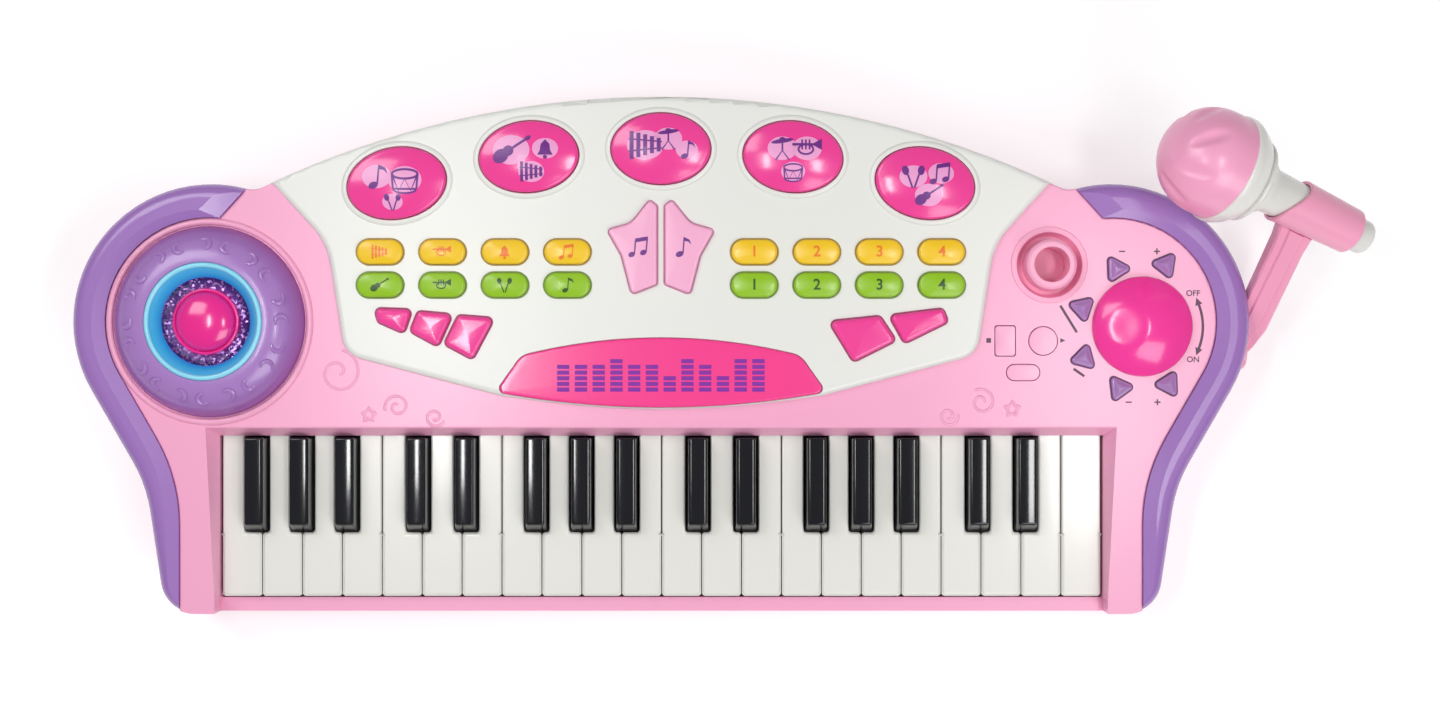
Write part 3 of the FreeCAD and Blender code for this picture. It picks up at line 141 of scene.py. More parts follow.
def new_material(name):
    material = bpy.data.materials.new(name)
    material.use_nodes = True
    material.node_tree.nodes.clear()
    place = add_node(material.node_tree, "ShaderNodeTexCoord").outputs["Object"]
    return material, material.node_tree, place


def close_material(tree, surface):
    add_node(tree, "ShaderNodeOutputMaterial", {"Surface": surface})


def close_principled(tree, inputs):
    close_material(tree, add_node(tree, "ShaderNodeBsdfPrincipled", inputs).outputs["BSDF"])


# Points

def polar(reach, angle):
    """Point at a distance from the origin, in a direction."""
    return Vector((reach * math.cos(angle), reach * math.sin(angle)))


def turn_angles(count):
    """Evenly spaced angles, once round."""
    return [FULL_TURN * step / count for step in range(count)]


def arc(centre, radius, start_deg, end_deg, steps):
    """Points of an arc, its ends included."""
    angles = [math.radians(start_deg + (end_deg - start_deg) * step / steps) for step in range(steps + 1)]
    return [Vector(centre) + polar(radius, angle) for angle in angles]


def dome_profile(radius, foot, rise, steps):
    """Radius and height pairs of a dome, from its foot to its pole."""
    angles = [QUARTER_TURN * step / steps for step in range(steps)]
    wall = [(radius * math.cos(angle), foot + rise * math.sin(angle)) for angle in angles]
    return wall + [(0, foot + rise)]


def extent(points):
    """Lowest and highest corner of the box round some points."""
    low = Vector([min(point[axis] for point in points) for axis in range(3)])
    high = Vector([max(point[axis] for point in points) for axis in range(3)])
    return low, high


def middle_of(points):
    return sum(points, Vector((0, 0))) / len(points)


def spaced(points, spacing):
    """The same closed outline with evenly spaced points."""
    closed = points + points[:1]
    runs = [(ahead - point).length for point, ahead in zip(closed, closed[1:])]
    count = round(sum(runs) / spacing)
    step = sum(runs) / count
    result = []
    at = 0
    passed = 0
    for index in range(count):
        target = index * step
        while passed + runs[at] < target:
            passed += runs[at]
            at += 1
        result.append(closed[at].lerp(closed[at + 1], (target - passed) / runs[at]))
    return result


def inset(points, amount):
    """Each point of a counter-clockwise outline moved inwards, square to the outline."""
    moved = []
    for at, point in enumerate(points):
        along = (points[(at + 1) % len(points)] - points[at - 1]).normalized()
        moved.append(point + along.orthogonal() * amount)
    return moved


# Meshes and pieces

def link_object(name, data):
    made = bpy.data.objects.new(name, data)
    bpy.context.scene.collection.objects.link(made)
    return made


def weighted_normals(mesh):
    """A normal for each face corner: the mean of the faces it blends with, by area; flats stay flat."""
    normals = []
    areas = [face.calc_area() for face in mesh.faces]
    for face in mesh.faces:
        for vertex in face.verts:
            normal = Vector()
            for other in vertex.link_faces:
                if other.normal.dot(face.normal) > SHARP_COSINE:
                    normal += other.normal * areas[other.index]
            normals.append(normal.normalized())
    return normals


def new_piece(name, mesh, material, body, nodes=(), place=PANEL):
    """Turns a bmesh into a smooth-shaded piece that rides on a body and stands for CAD nodes."""
    mesh.transform(place)
    mesh.normal_update()
    mesh.faces.index_update()
    normals = weighted_normals(mesh)
    data = bpy.data.meshes.new(name)
    mesh.to_mesh(data)
    mesh.free()
    data.shade_smooth()
    data.normals_split_custom_set(normals)
    data.materials.append(material)
    piece = link_object(name, data)
    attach(piece, body)
    if nodes:
        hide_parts(*nodes)
    return piece


def evaluated_mesh(holder):
    """The mesh that an object's modifiers or its font give; the object itself goes."""
    bpy.context.view_layer.update()
    made = bpy.data.meshes.new_from_object(holder.evaluated_get(bpy.context.evaluated_depsgraph_get()))
    bpy.data.objects.remove(holder)
    mesh = bmesh.new()
    mesh.from_mesh(made)
    bpy.data.meshes.remove(made)
    return mesh


def node_mesh(node):
    """A welded copy of a CAD node's mesh."""
    mesh = bmesh.new()
    mesh.from_mesh(frame["nodes"][node].data)
    bmesh.ops.remove_doubles(mesh, verts=mesh.verts, dist=WELD * MM)
    return mesh


def panel_box(node):
    """Lowest and highest corner of a CAD node in the panel's frame."""
    return extent([FLAT @ vertex.co for vertex in frame["nodes"][node].data.vertices])


def round_node(node):
    """Axis place on the deck, radius and height of a round CAD node."""
    low, high = panel_box(node)
    middle = (low + high) / 2
    return Matrix.Translation((middle.x, middle.y, 0)), (high.x - low.x) / 2, high.z


def raise_crown(mesh, crown):
    """Swells the top of a key across its width, so that it is highest along its middle."""
    top = max(vertex.co.dot(NORMAL) for vertex in mesh.verts) - CROWN_REACH * MM
    across = [vertex.co.x for vertex in mesh.verts if vertex.co.dot(NORMAL) > top]
    middle = (max(across) + min(across)) / 2
    half = (max(across) - min(across)) / 2
    for cut in range(1, CROWN_CUTS):
        x = middle + half * (2 * cut / CROWN_CUTS - 1)
        whole = mesh.verts[:] + mesh.edges[:] + mesh.faces[:]
        bmesh.ops.bisect_plane(mesh, geom=whole, plane_co=(x, 0, 0), plane_no=(1, 0, 0))
    for vertex in mesh.verts:
        share = (vertex.co.x - middle) / half
        if vertex.co.dot(NORMAL) > top and abs(share) < 1:
            vertex.co += NORMAL * (crown * MM * (1 - share * share))


def eased_copy(node, material, ease, side=1, crown=0.0):
    """A copy of a CAD node with the sharp edges on its seen side rounded, as a mould leaves them."""
    mesh = node_mesh(node)
    bmesh.ops.dissolve_limit(mesh, angle_limit=FLAT_ANGLE, verts=mesh.verts, edges=mesh.edges)
    sharp = []
    for edge in mesh.edges:
        seen = all(face.normal.dot(NORMAL) * side > HIDDEN_COSINE for face in edge.link_faces)
        if seen and edge.is_manifold and edge.calc_face_angle() > EASE_ANGLE:
            sharp.append(edge)
    bmesh.ops.bevel(mesh, geom=sharp, offset=ease * MM, offset_type="OFFSET", segments=EASE_STEPS,
                    profile=EASE_PROFILE_SHARE, affect="EDGES", clamp_overlap=False, harden_normals=False)
    if crown:
        raise_crown(mesh, crown)
    body = frame["nodes"][node]["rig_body"]
    new_piece(node + "_eased", mesh, material, body, (node,), Matrix.Identity(4))


def islands(mesh):
    """The separate solids of a mesh, as lists of vertices."""
    seen = set()
    found = []
    for start in mesh.verts:
        if start in seen:
            continue
        seen.add(start)
        island = [start]
        for vertex in island:
            for edge in vertex.link_edges:
                other = edge.other_vert(vertex)
                if other not in seen:
                    seen.add(other)
                    island.append(other)
        found.append(island)
    return found


def height_of(vertex):
    return round(vertex.co.z, LEVEL_DIGITS)


def spread(island, level):
    """How wide a solid is at one height."""
    across = [vertex.co.x for vertex in island if height_of(vertex) == level]
    return round(max(across) - min(across), LEVEL_DIGITS)


def level_loop(island, level):
    """The closed outline that a solid has at one height, counter-clockwise."""
    loop = [next(vertex for vertex in island if height_of(vertex) == level)]
    while True:
        beside = [edge.other_vert(loop[-1]) for edge in loop[-1].link_edges]
        ahead = [vertex for vertex in beside if height_of(vertex) == level and vertex not in loop]
        if not ahead:
            break
        loop.append(ahead[0])
    points = [Vector(vertex.co.xy) for vertex in loop]
    area = sum(points[at - 1].cross(points[at]) for at in range(len(points)))
    return points if area > 0 else points[::-1]


def cap_shapes(node):
    """Outline, foot and top of each cap of a button set, read from its solids."""
    mesh = node_mesh(node)
    mesh.transform(FLAT)
    found = []
    for island in islands(mesh):
        heights = sorted({height_of(vertex) for vertex in island})
        above = [height for height in heights if height >= 0]
        shoulder = max(above, key=lambda height: (spread(island, height), height))
        found.append((spaced(level_loop(island, shoulder), OUTLINE_SPACING), heights[0], heights[-1]))
    mesh.free()
    return found


def cap_outlines(node):
    return [shape[0] for shape in cap_shapes(node)]


def ring_of(mesh, points, height):
    return [mesh.verts.new((point.x, point.y, height)) for point in points]


def bridge(mesh, rings, closed=False):
    """Faces from each ring of points to the next; a ring of one point is a pole."""
    for low, high in zip(rings, rings[1:] + (rings[:1] if closed else [])):
        for at in range(max(len(low), len(high))):
            if len(low) == 1:
                corners = (high[at - 1], high[at], low[0])
            elif len(high) == 1:
                corners = (low[at - 1], low[at], high[0])
            else:
                corners = (low[at - 1], low[at], high[at], high[at - 1])
            mesh.faces.new(corners)


def add_pillow(mesh, outline, foot, rim, ease, crown):
    """A closed cap: walls up from its foot, a rounded edge at the rim, and a top that swells by a crown."""
    middle = middle_of(outline)
    rings = [ring_of(mesh, outline, foot)]
    for step in range(EASE_STEPS + 1):
        angle = QUARTER_TURN * step / EASE_STEPS
        edge = inset(outline, ease * (1 - math.cos(angle)))
        rings.append(ring_of(mesh, edge, rim - ease + ease * math.sin(angle)))
    for share in PILLOW_SHARES:
        drawn_in = [middle.lerp(point, share) for point in edge]
        rings.append(ring_of(mesh, drawn_in, rim + crown * (1 - share * share)))
    rings.append(ring_of(mesh, [middle], rim + crown))
    bridge(mesh, rings)
    mesh.faces.new(rings[0][::-1])


def add_turned(mesh, profile, place, closed=False):
    """A body of revolution from radius and height pairs about a place's z axis; radius 0 is a pole."""
    rings = []
    for radius, height in profile:
        spots = [polar(radius, angle) for angle in turn_angles(TURN_STEPS if radius else 1)]
        rings.append([mesh.verts.new(place @ Vector((*spot, height))) for spot in spots])
    bridge(mesh, rings, closed)
    bmesh.ops.recalc_face_normals(mesh, faces=mesh.faces)


# Materials

FLOW_SIZE = 140.0
PEEL_SIZE = 1.6
PEEL_DEPTH = 0.02
PEEL_STRENGTH_SHARE = 0.15
CLOUD_SHARE = 0.95
GLOSS_CHANGE_SHARE = 0.04
COAT_ROUGHNESS_SHARE = 0.1
FULL_SPECULAR_SHARE = 0.5
ABS_IOR = 1.54
FLAKE_SIZE = 0.9
FLAKE_SHARE = 0.74
FLAKE_TILT_SHARE = 0.55
FLAKE_ROUGHNESS_SHARE = 0.35
BRUSH_SIZE = 0.3
BRUSH_DETAIL = 4.0


def shaded(colour, share):
    """A colour brought down to a share of its light."""
    return [part * share for part in linear(colour)[:3]] + [1]


def skin(tree, place):
    """The slight ripple that a mould leaves, as a normal."""
    return add_node(tree, "ShaderNodeBump", {
        "Strength": PEEL_STRENGTH_SHARE, "Distance": PEEL_DEPTH * MM,
        "Height": noise(tree, place, PEEL_SIZE)}).outputs["Normal"]


def moulded_plastic(name, colour, roughness, coat, cloud=CLOUD_SHARE, specular=FULL_SPECULAR_SHARE):
    """Injection-moulded ABS: an even gloss, faint flow clouds and a skin that ripples a little."""
    material, tree, place = new_material(name)
    flow = noise(tree, place, FLOW_SIZE, Detail=0)
    change = roughness * GLOSS_CHANGE_SHARE
    close_principled(tree, {
        "Base Color": mixed(tree, flow, linear(colour), shaded(colour, cloud)),
        "Roughness": ranged(tree, flow, roughness - change, roughness + change),
        "Normal": skin(tree, place), "IOR": ABS_IOR, "Specular IOR Level": specular,
        "Coat Weight": coat, "Coat Roughness": COAT_ROUGHNESS_SHARE})
    return material


def distance_ramp(tree, place, radius, bands):
    """A colour that changes with the distance from the lamp's middle; bands are shares of a radius."""
    last_share = bands[-1][0]
    away = add_node(tree, "ShaderNodeVectorMath", {0: place, 1: PANEL @ ring_middle}, operation="DISTANCE")
    share = maths(tree, "DIVIDE", away.outputs["Value"], radius * last_share * MM)
    ramp = add_node(tree, "ShaderNodeValToRGB", {"Fac": share})
    stops = ramp.color_ramp.elements
    while len(stops) < len(bands):
        stops.new(1)
    for stop, (band_share, colour) in zip(stops, bands):
        stop.position = band_share / last_share
        stop.color = linear(colour)
    return ramp.outputs["Color"]


def banded_painted_light_plastic(name, radius, bands, roughness, coat, glow=0.0):
    """Plastic whose colour runs in bands round the lamp: on the speaker ring the darker outer bands are
    painted shade where its face falls away; in the clear funnel the bands and the emitted glow are painted
    light and shade.
    """
    material, tree, place = new_material(name)
    tint = distance_ramp(tree, place, radius, bands)
    close_principled(tree, {
        "Base Color": tint, "Roughness": roughness, "Normal": skin(tree, place), "IOR": ABS_IOR,
        "Coat Weight": coat, "Coat Roughness": COAT_ROUGHNESS_SHARE,
        "Emission Color": tint, "Emission Strength": glow})
    return material


def glitter_plastic(name, radius, bands, flake_colour):
    """Clear-cast glitter: bands of colour, with flakes that each catch the light their own way."""
    material, tree, place = new_material(name)
    tint = distance_ramp(tree, place, radius, bands)
    flakes = add_node(tree, "ShaderNodeTexVoronoi", {"Vector": place, "Scale": per_metre(FLAKE_SIZE)})
    parts = add_node(tree, "ShaderNodeSeparateColor", {"Color": flakes.outputs["Color"]})
    bright = maths(tree, "GREATER_THAN", parts.outputs[0], FLAKE_SHARE)
    facing = add_node(tree, "ShaderNodeNewGeometry").outputs["Normal"]
    tilt = add_node(tree, "ShaderNodeVectorMath", {
        0: flakes.outputs["Color"], 1: [FLAKE_TILT_SHARE] * 3, 2: facing}, operation="MULTIPLY_ADD")
    even = add_node(tree, "ShaderNodeVectorMath", {
        0: tilt.outputs[0], 1: [FLAKE_TILT_SHARE / 2] * 3}, operation="SUBTRACT")
    close_principled(tree, {
        "Base Color": mixed(tree, bright, tint, linear(flake_colour)), "Metallic": bright,
        "Roughness": FLAKE_ROUGHNESS_SHARE, "Normal": even.outputs[0]})
    return material


def worked_metal(name, colour, roughness):
    """Plated steel: a metal whose gloss is broken by fine brush marks."""
    material, tree, place = new_material(name)
    brush = noise(tree, place, BRUSH_SIZE, Detail=BRUSH_DETAIL)
    close_principled(tree, {
        "Base Color": linear(colour), "Metallic": 1,
        "Roughness": ranged(tree, brush, roughness / 2, roughness * 2)})
    return material


ring_place, ring_radius, ring_top = round_node("speaker_ring")
lamp_place, lamp_radius, lamp_top = round_node("lamp_ring")
ring_middle = ring_place.translation

# Bands of colour: share of the radius, and the colour there. The ring's darker outer bands are painted
# shade where its face falls away; the funnel's bands are painted light and shade over its blue tint,
# brightest at its edge; the bowl's colour darkens outwards.
RING_EDGE_SHADE_BANDS = ((0.0, "#A97EC4"), (0.86, "#A77CC2"), (0.94, "#9C66B2"), (1.0, "#934E9E"))
LAMP_TINT_LIGHT_AND_SHADE_BANDS = ((0.0, "#12246E"), (0.74, "#12246E"), (0.8, "#0F74C8"), (0.88, "#1E9BD2"), (1.0, "#2FA9DA"))
BOWL_BANDS = ((0.0, "#B02A86"), (0.58, "#8E2A8C"), (0.66, "#5A2882"), (0.76, "#2A1F66"))

# Plastics: name, colour, roughness, coat, share of the light in the flow clouds, specular
shell_pink = moulded_plastic("satin_pink_abs", "#F6AACC", 0.26, 0.0)
# The socket's pink is set lighter than the case's, which lifts the shade in its dish: painted light.
socket_pink = moulded_plastic("matt_rose_abs", "#FFB0D0", 0.4, 0.0)
panel_white = moulded_plastic("satin_white_abs", "#E6E7E2", 0.3, 0.0, 0.97)
trim_purple = moulded_plastic("gloss_purple_abs", "#A074BE", 0.26, 0.15, 0.94)
pad_pink = moulded_plastic("gloss_hot_pink_abs", "#F6409B", 0.2, 0.35, 0.94)
lens_pink = moulded_plastic("polished_pink_lens", "#FA3F92", 0.2, 0.3, 0.96)
knob_pink = moulded_plastic("polished_hot_pink_abs", "#FC38A0", 0.2, 0.3)
dome_pink = moulded_plastic("clear_coated_pink_dome", "#F02290", 0.2, 0.4, 0.94)
cap_yellow = moulded_plastic("satin_yellow_abs", "#F6C91E", 0.3, 0.1)
cap_green = moulded_plastic("satin_green_abs", "#93C51C", 0.3, 0.1)
cap_lilac = moulded_plastic("gloss_lilac_abs", "#B083C2", 0.18, 0.4, 0.9)
star_pink = moulded_plastic("satin_pale_pink_abs", "#F7B0D3", 0.3, 0.1)
key_white = moulded_plastic("polished_white_abs", "#E7E6E0", 0.22, 0.2, 0.97)
key_black = moulded_plastic("polished_black_abs", "#101118", 0.09, 0.0, 0.8)
mic_pink = moulded_plastic("satin_rose_abs", "#F7A6C9", 0.3, 0.1, 0.94)
mic_white = moulded_plastic("gloss_white_abs", "#E6E5E0", 0.24, 0.2, 0.97)
clip_pink = moulded_plastic("satin_clip_pink_abs", "#FBA6C6", 0.3, 0.1, 0.94)
lamp_edge = moulded_plastic("frosted_cyan_polycarbonate", "#8CDDF5", 0.3, 0.3)
ink_purple = moulded_plastic("purple_pad_ink", "#6E2488", 0.35, 0.1, 0.9)
ink_violet = moulded_plastic("violet_screen_ink", "#8630A6", 0.4, 0.0, 0.9, 0.2)
ink_orange = moulded_plastic("orange_pad_ink", "#F07A1E", 0.35, 0.1, 0.9)
ink_lilac = moulded_plastic("pale_lilac_pad_ink", "#F2A4D6", 0.35, 0.1, 0.9)
ink_green = moulded_plastic("dark_green_pad_ink", "#2B551B", 0.35, 0.1, 0.9)
ink_plum = moulded_plastic("plum_label_ink", "#5E3350", 0.4, 0.0, 0.9)
# Thin dark lines laid in the gaps round the caps, each a darker copy of its cap's colour: painted shade.
gap_shade_plum = moulded_plastic("plum_painted_gap_shade", "#6B3F72", 0.5, 0.0, 0.9)
gap_shade_rose = moulded_plastic("rose_painted_gap_shade", "#A8376F", 0.5, 0.0, 0.9)
gap_shade_olive = moulded_plastic("olive_painted_gap_shade", "#A98B3A", 0.5, 0.0, 0.9)
gap_shade_moss = moulded_plastic("moss_painted_gap_shade", "#7C9440", 0.5, 0.0, 0.9)
gap_shade_pink = moulded_plastic("dusky_pink_painted_gap_shade", "#C98AA6", 0.5, 0.0, 0.9)
board_green = moulded_plastic("solder_mask_green", "#2E6B4A", 0.4, 0.3, 0.9)
speaker_grey = moulded_plastic("dipped_paper_cone", "#3A3A3E", 0.6, 0.0, 0.85)
ring_purple = banded_painted_light_plastic("purple_abs_painted_edge_shade", ring_radius, RING_EDGE_SHADE_BANDS, 0.26, 0.2)
# The funnel's emission of its own colour is a painted glow, and its bands, navy inside and bright at the
# edge, are painted light and shade over its blue tint.
lamp_blue = banded_painted_light_plastic("tinted_blue_polycarbonate_painted_light", lamp_radius, LAMP_TINT_LIGHT_AND_SHADE_BANDS, 0.16, 0.2, 0.25)
glitter = glitter_plastic("glitter_purple_styrene", lamp_radius, BOWL_BANDS, "#B892DC")
steel = worked_metal("zinc_plated_steel", "#B9BABD", 0.25)


# CAD nodes that keep their shape: copies with eased edges, then those shown as they are

eased_copy("control_panel", panel_white, PANEL_EASE)
eased_copy("mic_socket", socket_pink, SMALL_EASE)
eased_copy("battery_door", shell_pink, SMALL_EASE, -1)
for node in frame["nodes"]:
    if node.startswith("white_key"):
        eased_copy(node, key_white, KEY_EASE)
    elif node.startswith("black_key"):
        eased_copy(node, key_black, KEY_EASE, crown=BLACK_CROWN)
PLAIN_NODES = {
    "upper_case": shell_pink, "lower_case": shell_pink, "side_trims": trim_purple,
    "circuit_board": board_green, "loudspeaker": speaker_grey, "case_screws": steel,
}
for node, material in PLAIN_NODES.items():
    frame["nodes"][node].data.materials.clear()
    frame["nodes"][node].data.materials.append(material)


# Button caps, swelled from the outlines of their solids

# Button sets: node, material, slot, ease, rim above the solid's top, crown
BUTTON_SETS = (
    ("drum_pads", pad_pink, "hot_pink_abs", 1.4, -0.9, 2.6),
    ("tone_buttons", cap_yellow, "yellow_abs", 1.2, -0.2, 0.7),
    ("rhythm_buttons", cap_green, "green_abs", 1.2, -0.2, 0.7),
    ("star_buttons", star_pink, "pink_abs", 0.9, 0.0, 0.2),
    ("wedge_buttons", pad_pink, "hot_pink_abs", 1.5, -0.1, 0.25),
    ("triangle_buttons", cap_lilac, "purple_abs", 1.0, -0.6, 1.5),
    ("record_buttons", shell_pink, "pink_abs", 0.25, 0.0, 0.1),
    ("display_lens", lens_pink, "pink_lens", 0.9, -0.1, 0.3),
)
caps = {}
for node, material, slot, ease, rise, crown in BUTTON_SETS:
    mesh = bmesh.new()
    for outline, foot, top in cap_shapes(node):
        add_pillow(mesh, outline, foot, top + rise, ease, crown)
    caps[node] = new_piece(node + "_caps", mesh, material, frame["nodes"][node]["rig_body"], (node,))


# Round pieces, turned about their own axes

RING_FULLNESS_POWER = 1.3
RING_CLEARANCE = 0.15
RING_STEPS = 24
RING_CURLS = 20
CURL_RADIUS = 2.5
CURL_WIDTH = 1.1
CURL_STEPS = 14
CURL_SIDES = 8
CURL_END_SHARE = 0.35
CURL_SINK_SHARE = 0.05
CURL_PLACE_SHARE = 0.48
CURL_SWEEP_DEG = 215.0
LAMP_EDGE_RADIUS = 1.1
LAMP_EDGE_STEPS = 16
LAMP_FUNNEL_WALL = 1.2
LAMP_SEAT = 3.6
BOWL_DEPTH = 2.0
BOWL_WALL = 2.5
BOWL_ROUND = 1.0
DOME_SHARE = 0.75
DOME_STEPS = 18
DOME_RISE = 2.6
DOME_FLANGE = 1.5
DOME_GROOVE = 0.5
GROOVE_STEPS = 4
DIAL_STEPS = 44
DIAL_SKIRT_ROUND = 1.6
DIAL_SKIRT = 2.2
DIAL_GAP = 0.3
DIMPLE_PLACE_SHARE = 0.4
DIMPLE_SIZE_SHARE = 0.5
DIMPLE_DEPTH = 1.2
SOCKET_KINDS = {int: "NodeSocketInt", float: "NodeSocketFloat", bpy.types.Material: "NodeSocketMaterial"}

ring_lip = lamp_radius + RING_CLEARANCE
ring_reach = ring_radius - ring_lip
lamp_foot = panel_box("lamp_ring")[0].z


def node_tree(name, values):
    """An empty geometry tree with a named input for each value and one geometry output."""
    tree = bpy.data.node_groups.new(name, "GeometryNodeTree")
    tree.interface.new_socket("Geometry", in_out="OUTPUT", socket_type="NodeSocketGeometry")
    for label, value in values.items():
        tree.interface.new_socket(label, in_out="INPUT", socket_type=SOCKET_KINDS[type(value)])
    return tree, add_node(tree, "NodeGroupInput").outputs


def close_tree(tree, geometry, material):
    """Ends a tree in a real mesh with its material."""
    real = add_node(tree, "GeometryNodeRealizeInstances", {"Geometry": geometry})
    inked = add_node(tree, "GeometryNodeSetMaterial", {"Geometry": real.outputs[0], "Material": material})
    add_node(tree, "NodeGroupOutput", {"Geometry": inked.outputs[0]})


def grown_mesh(tree, values):
    """Runs a geometry tree with its named inputs set, and gives the result as a bmesh."""
    holder = link_object(tree.name, bpy.data.meshes.new(tree.name))
    modifier = holder.modifiers.new(tree.name, "NODES")
    modifier.node_group = tree
    for item in tree.interface.items_tree:
        if item.in_out == "INPUT":
            modifier[item.identifier] = values[item.name]
    return evaluated_mesh(holder)


def turned_piece(name, profile, place, material, nodes=(), closed=False):
    """A piece of the case that is turned about a place on the deck."""
    mesh = bmesh.new()
    add_turned(mesh, profile, place, closed)
    new_piece(name, mesh, material, "case", nodes)


def ring_rise(radius):
    """Height of the speaker ring's convex face at a distance from its axis."""
    share = (radius - ring_lip) / ring_reach
    return ring_top * math.sqrt(max(0, 1 - share * share)) ** RING_FULLNESS_POWER


def speaker_ring():
    profile = [(ring_lip, lamp_foot)]
    for step in range(RING_STEPS + 1):
        radius = ring_lip + ring_reach * math.cos(QUARTER_TURN * step / RING_STEPS)
        profile.insert(step, (radius, ring_rise(radius)))
    turned_piece("speaker_ring_face", profile, ring_place, ring_purple,
                 ("speaker_ring",), closed=True)


def curl_tree(values):
    """Raised curls round a circle, turned to face out and laid on the slope, every other one reversed."""
    tree, given = node_tree("ring_curls", values)
    circle = add_node(tree, "GeometryNodeMeshCircle", {
        "Vertices": given["Count"], "Radius": given["Circle radius"]})
    line = add_node(tree, "GeometryNodeCurveArc", {
        "Resolution": CURL_STEPS, "Radius": given["Curl radius"],
        "Sweep Angle": given["Sweep"]}, mode="RADIUS")
    along = add_node(tree, "GeometryNodeSplineParameter").outputs["Factor"]
    taper = maths(tree, "SINE", maths(tree, "MULTIPLY", along, math.pi))
    section = add_node(tree, "GeometryNodeCurvePrimitiveCircle", {
        "Resolution": CURL_SIDES, "Radius": given["Curl width"]})
    bead = add_node(tree, "GeometryNodeCurveToMesh", {
        "Curve": line.outputs["Curve"], "Profile Curve": section.outputs["Curve"],
        "Scale": ranged(tree, taper, given["End share"], 1), "Fill Caps": True})
    where = add_node(tree, "GeometryNodeInputPosition").outputs[0]
    facing = add_node(tree, "FunctionNodeAlignRotationToVector", {
        "Vector": where}, axis="X", pivot_axis="Z")
    curls = add_node(tree, "GeometryNodeInstanceOnPoints", {
        "Points": circle.outputs["Mesh"], "Instance": bead.outputs["Mesh"], "Rotation": facing.outputs[0]})
    number = add_node(tree, "GeometryNodeInputIndex").outputs[0]
    for turn in ({"Y": given["Slope"]}, {"Z": maths(tree, "MULTIPLY", number, math.pi)}):
        angles = add_node(tree, "ShaderNodeCombineXYZ", turn)
        curls = add_node(tree, "GeometryNodeRotateInstances", {
            "Instances": curls.outputs[0], "Rotation": angles.outputs[0], "Local Space": True})
    close_tree(tree, curls.outputs[0], given["Finish"])
    return tree


def speaker_ring_curls():
    radius = ring_lip + ring_reach * CURL_PLACE_SHARE
    fall = ring_rise(radius - CURL_RADIUS) - ring_rise(radius + CURL_RADIUS)
    values = {
        "Count": RING_CURLS, "Circle radius": radius, "Curl radius": CURL_RADIUS, "Curl width": CURL_WIDTH,
        "End share": CURL_END_SHARE, "Sweep": math.radians(CURL_SWEEP_DEG),
        "Slope": math.atan2(fall, 2 * CURL_RADIUS), "Finish": ring_purple}
    mesh = grown_mesh(curl_tree(values), values)
    seat = Matrix.Translation((0, 0, ring_rise(radius) - CURL_WIDTH * CURL_SINK_SHARE))
    new_piece("speaker_ring_curls", mesh, ring_purple, "case", (), PANEL @ ring_place @ seat)


def lamp():
    """The clear funnel with its bright edge, the glitter bowl in it and the domed button in the bowl."""
    dome_box = panel_box("lamp_dome")
    inner = dome_box[1].x - ring_middle.x - LAMP_SEAT
    rim = lamp_radius - LAMP_EDGE_RADIUS
    edge = lamp_top - LAMP_EDGE_RADIUS
    funnel = [
        (lamp_radius, lamp_foot), (lamp_radius, edge), (rim, lamp_top - LAMP_EDGE_RADIUS / 2),
        (rim - LAMP_FUNNEL_WALL, lamp_top - LAMP_FUNNEL_WALL),
        (inner + LAMP_FUNNEL_WALL, lamp_foot + LAMP_FUNNEL_WALL), (inner, lamp_foot)]
    turned_piece("lamp_funnel", funnel, lamp_place, lamp_blue, ("lamp_ring",))
    bead = arc((rim, edge), LAMP_EDGE_RADIUS, 0, 360, LAMP_EDGE_STEPS)[:-1]
    turned_piece("lamp_edge", bead, lamp_place, lamp_edge, closed=True)
    dome_radius = inner * DOME_SHARE
    bowl_floor = lamp_foot - BOWL_DEPTH
    bowl = [
        (inner + BOWL_WALL, 0), (inner + BOWL_WALL, lamp_foot), (inner, lamp_foot),
        (inner - BOWL_ROUND, lamp_foot - BOWL_ROUND), (dome_radius + BOWL_ROUND, bowl_floor),
        (0, bowl_floor)]
    turned_piece("glitter_bowl", bowl, lamp_place, glitter, ("lamp_dome",))
    cap = dome_radius - DOME_FLANGE
    flange = bowl_floor + DOME_RISE
    groove = flange - DOME_GROOVE
    button = [(dome_radius, bowl_floor), (dome_radius, groove)]
    button += arc((dome_radius - DOME_GROOVE, groove), DOME_GROOVE, 0, 90, GROOVE_STEPS)
    button += [(cap + DOME_GROOVE, flange), (cap, groove)]
    button += dome_profile(cap, flange, dome_box[1].z - flange, DOME_STEPS)
    turned_piece("lamp_button", button, lamp_place, dome_pink)


def power_dial():
    place, radius, crown = round_node("power_knob")
    rise = crown - DIAL_SKIRT
    ball = (radius * radius + rise * rise) / (2 * rise)
    profile = [(0, DIAL_GAP), (radius, DIAL_GAP), (radius, DIAL_SKIRT - DIAL_SKIRT_ROUND / 2)]
    for step in range(DIAL_STEPS + 1):
        reach = radius * (1 - step / DIAL_STEPS) - (DIAL_SKIRT_ROUND / 4 if step == 0 else 0)
        profile.append((max(0, reach), crown - ball + math.sqrt(ball * ball - reach * reach)))
    mesh = bmesh.new()
    add_turned(mesh, profile, place)
    centre = place.translation + Vector((-radius * DIMPLE_PLACE_SHARE, 0, 0))
    size = radius * DIMPLE_SIZE_SHARE
    for vertex in mesh.verts:
        if vertex.co.z > DIAL_SKIRT / 2:
            away = (vertex.co.xy - centre.xy).length / size
            vertex.co.z -= DIMPLE_DEPTH * max(0, 1 - away * away) ** 2
    new_piece("power_dial", mesh, knob_pink, "power_knob", ("power_knob",))


speaker_ring()
speaker_ring_curls()
lamp()
power_dial()


# Microphone and clip arm: white handle and collar, pink head with petal dents, scooped pink sleeve

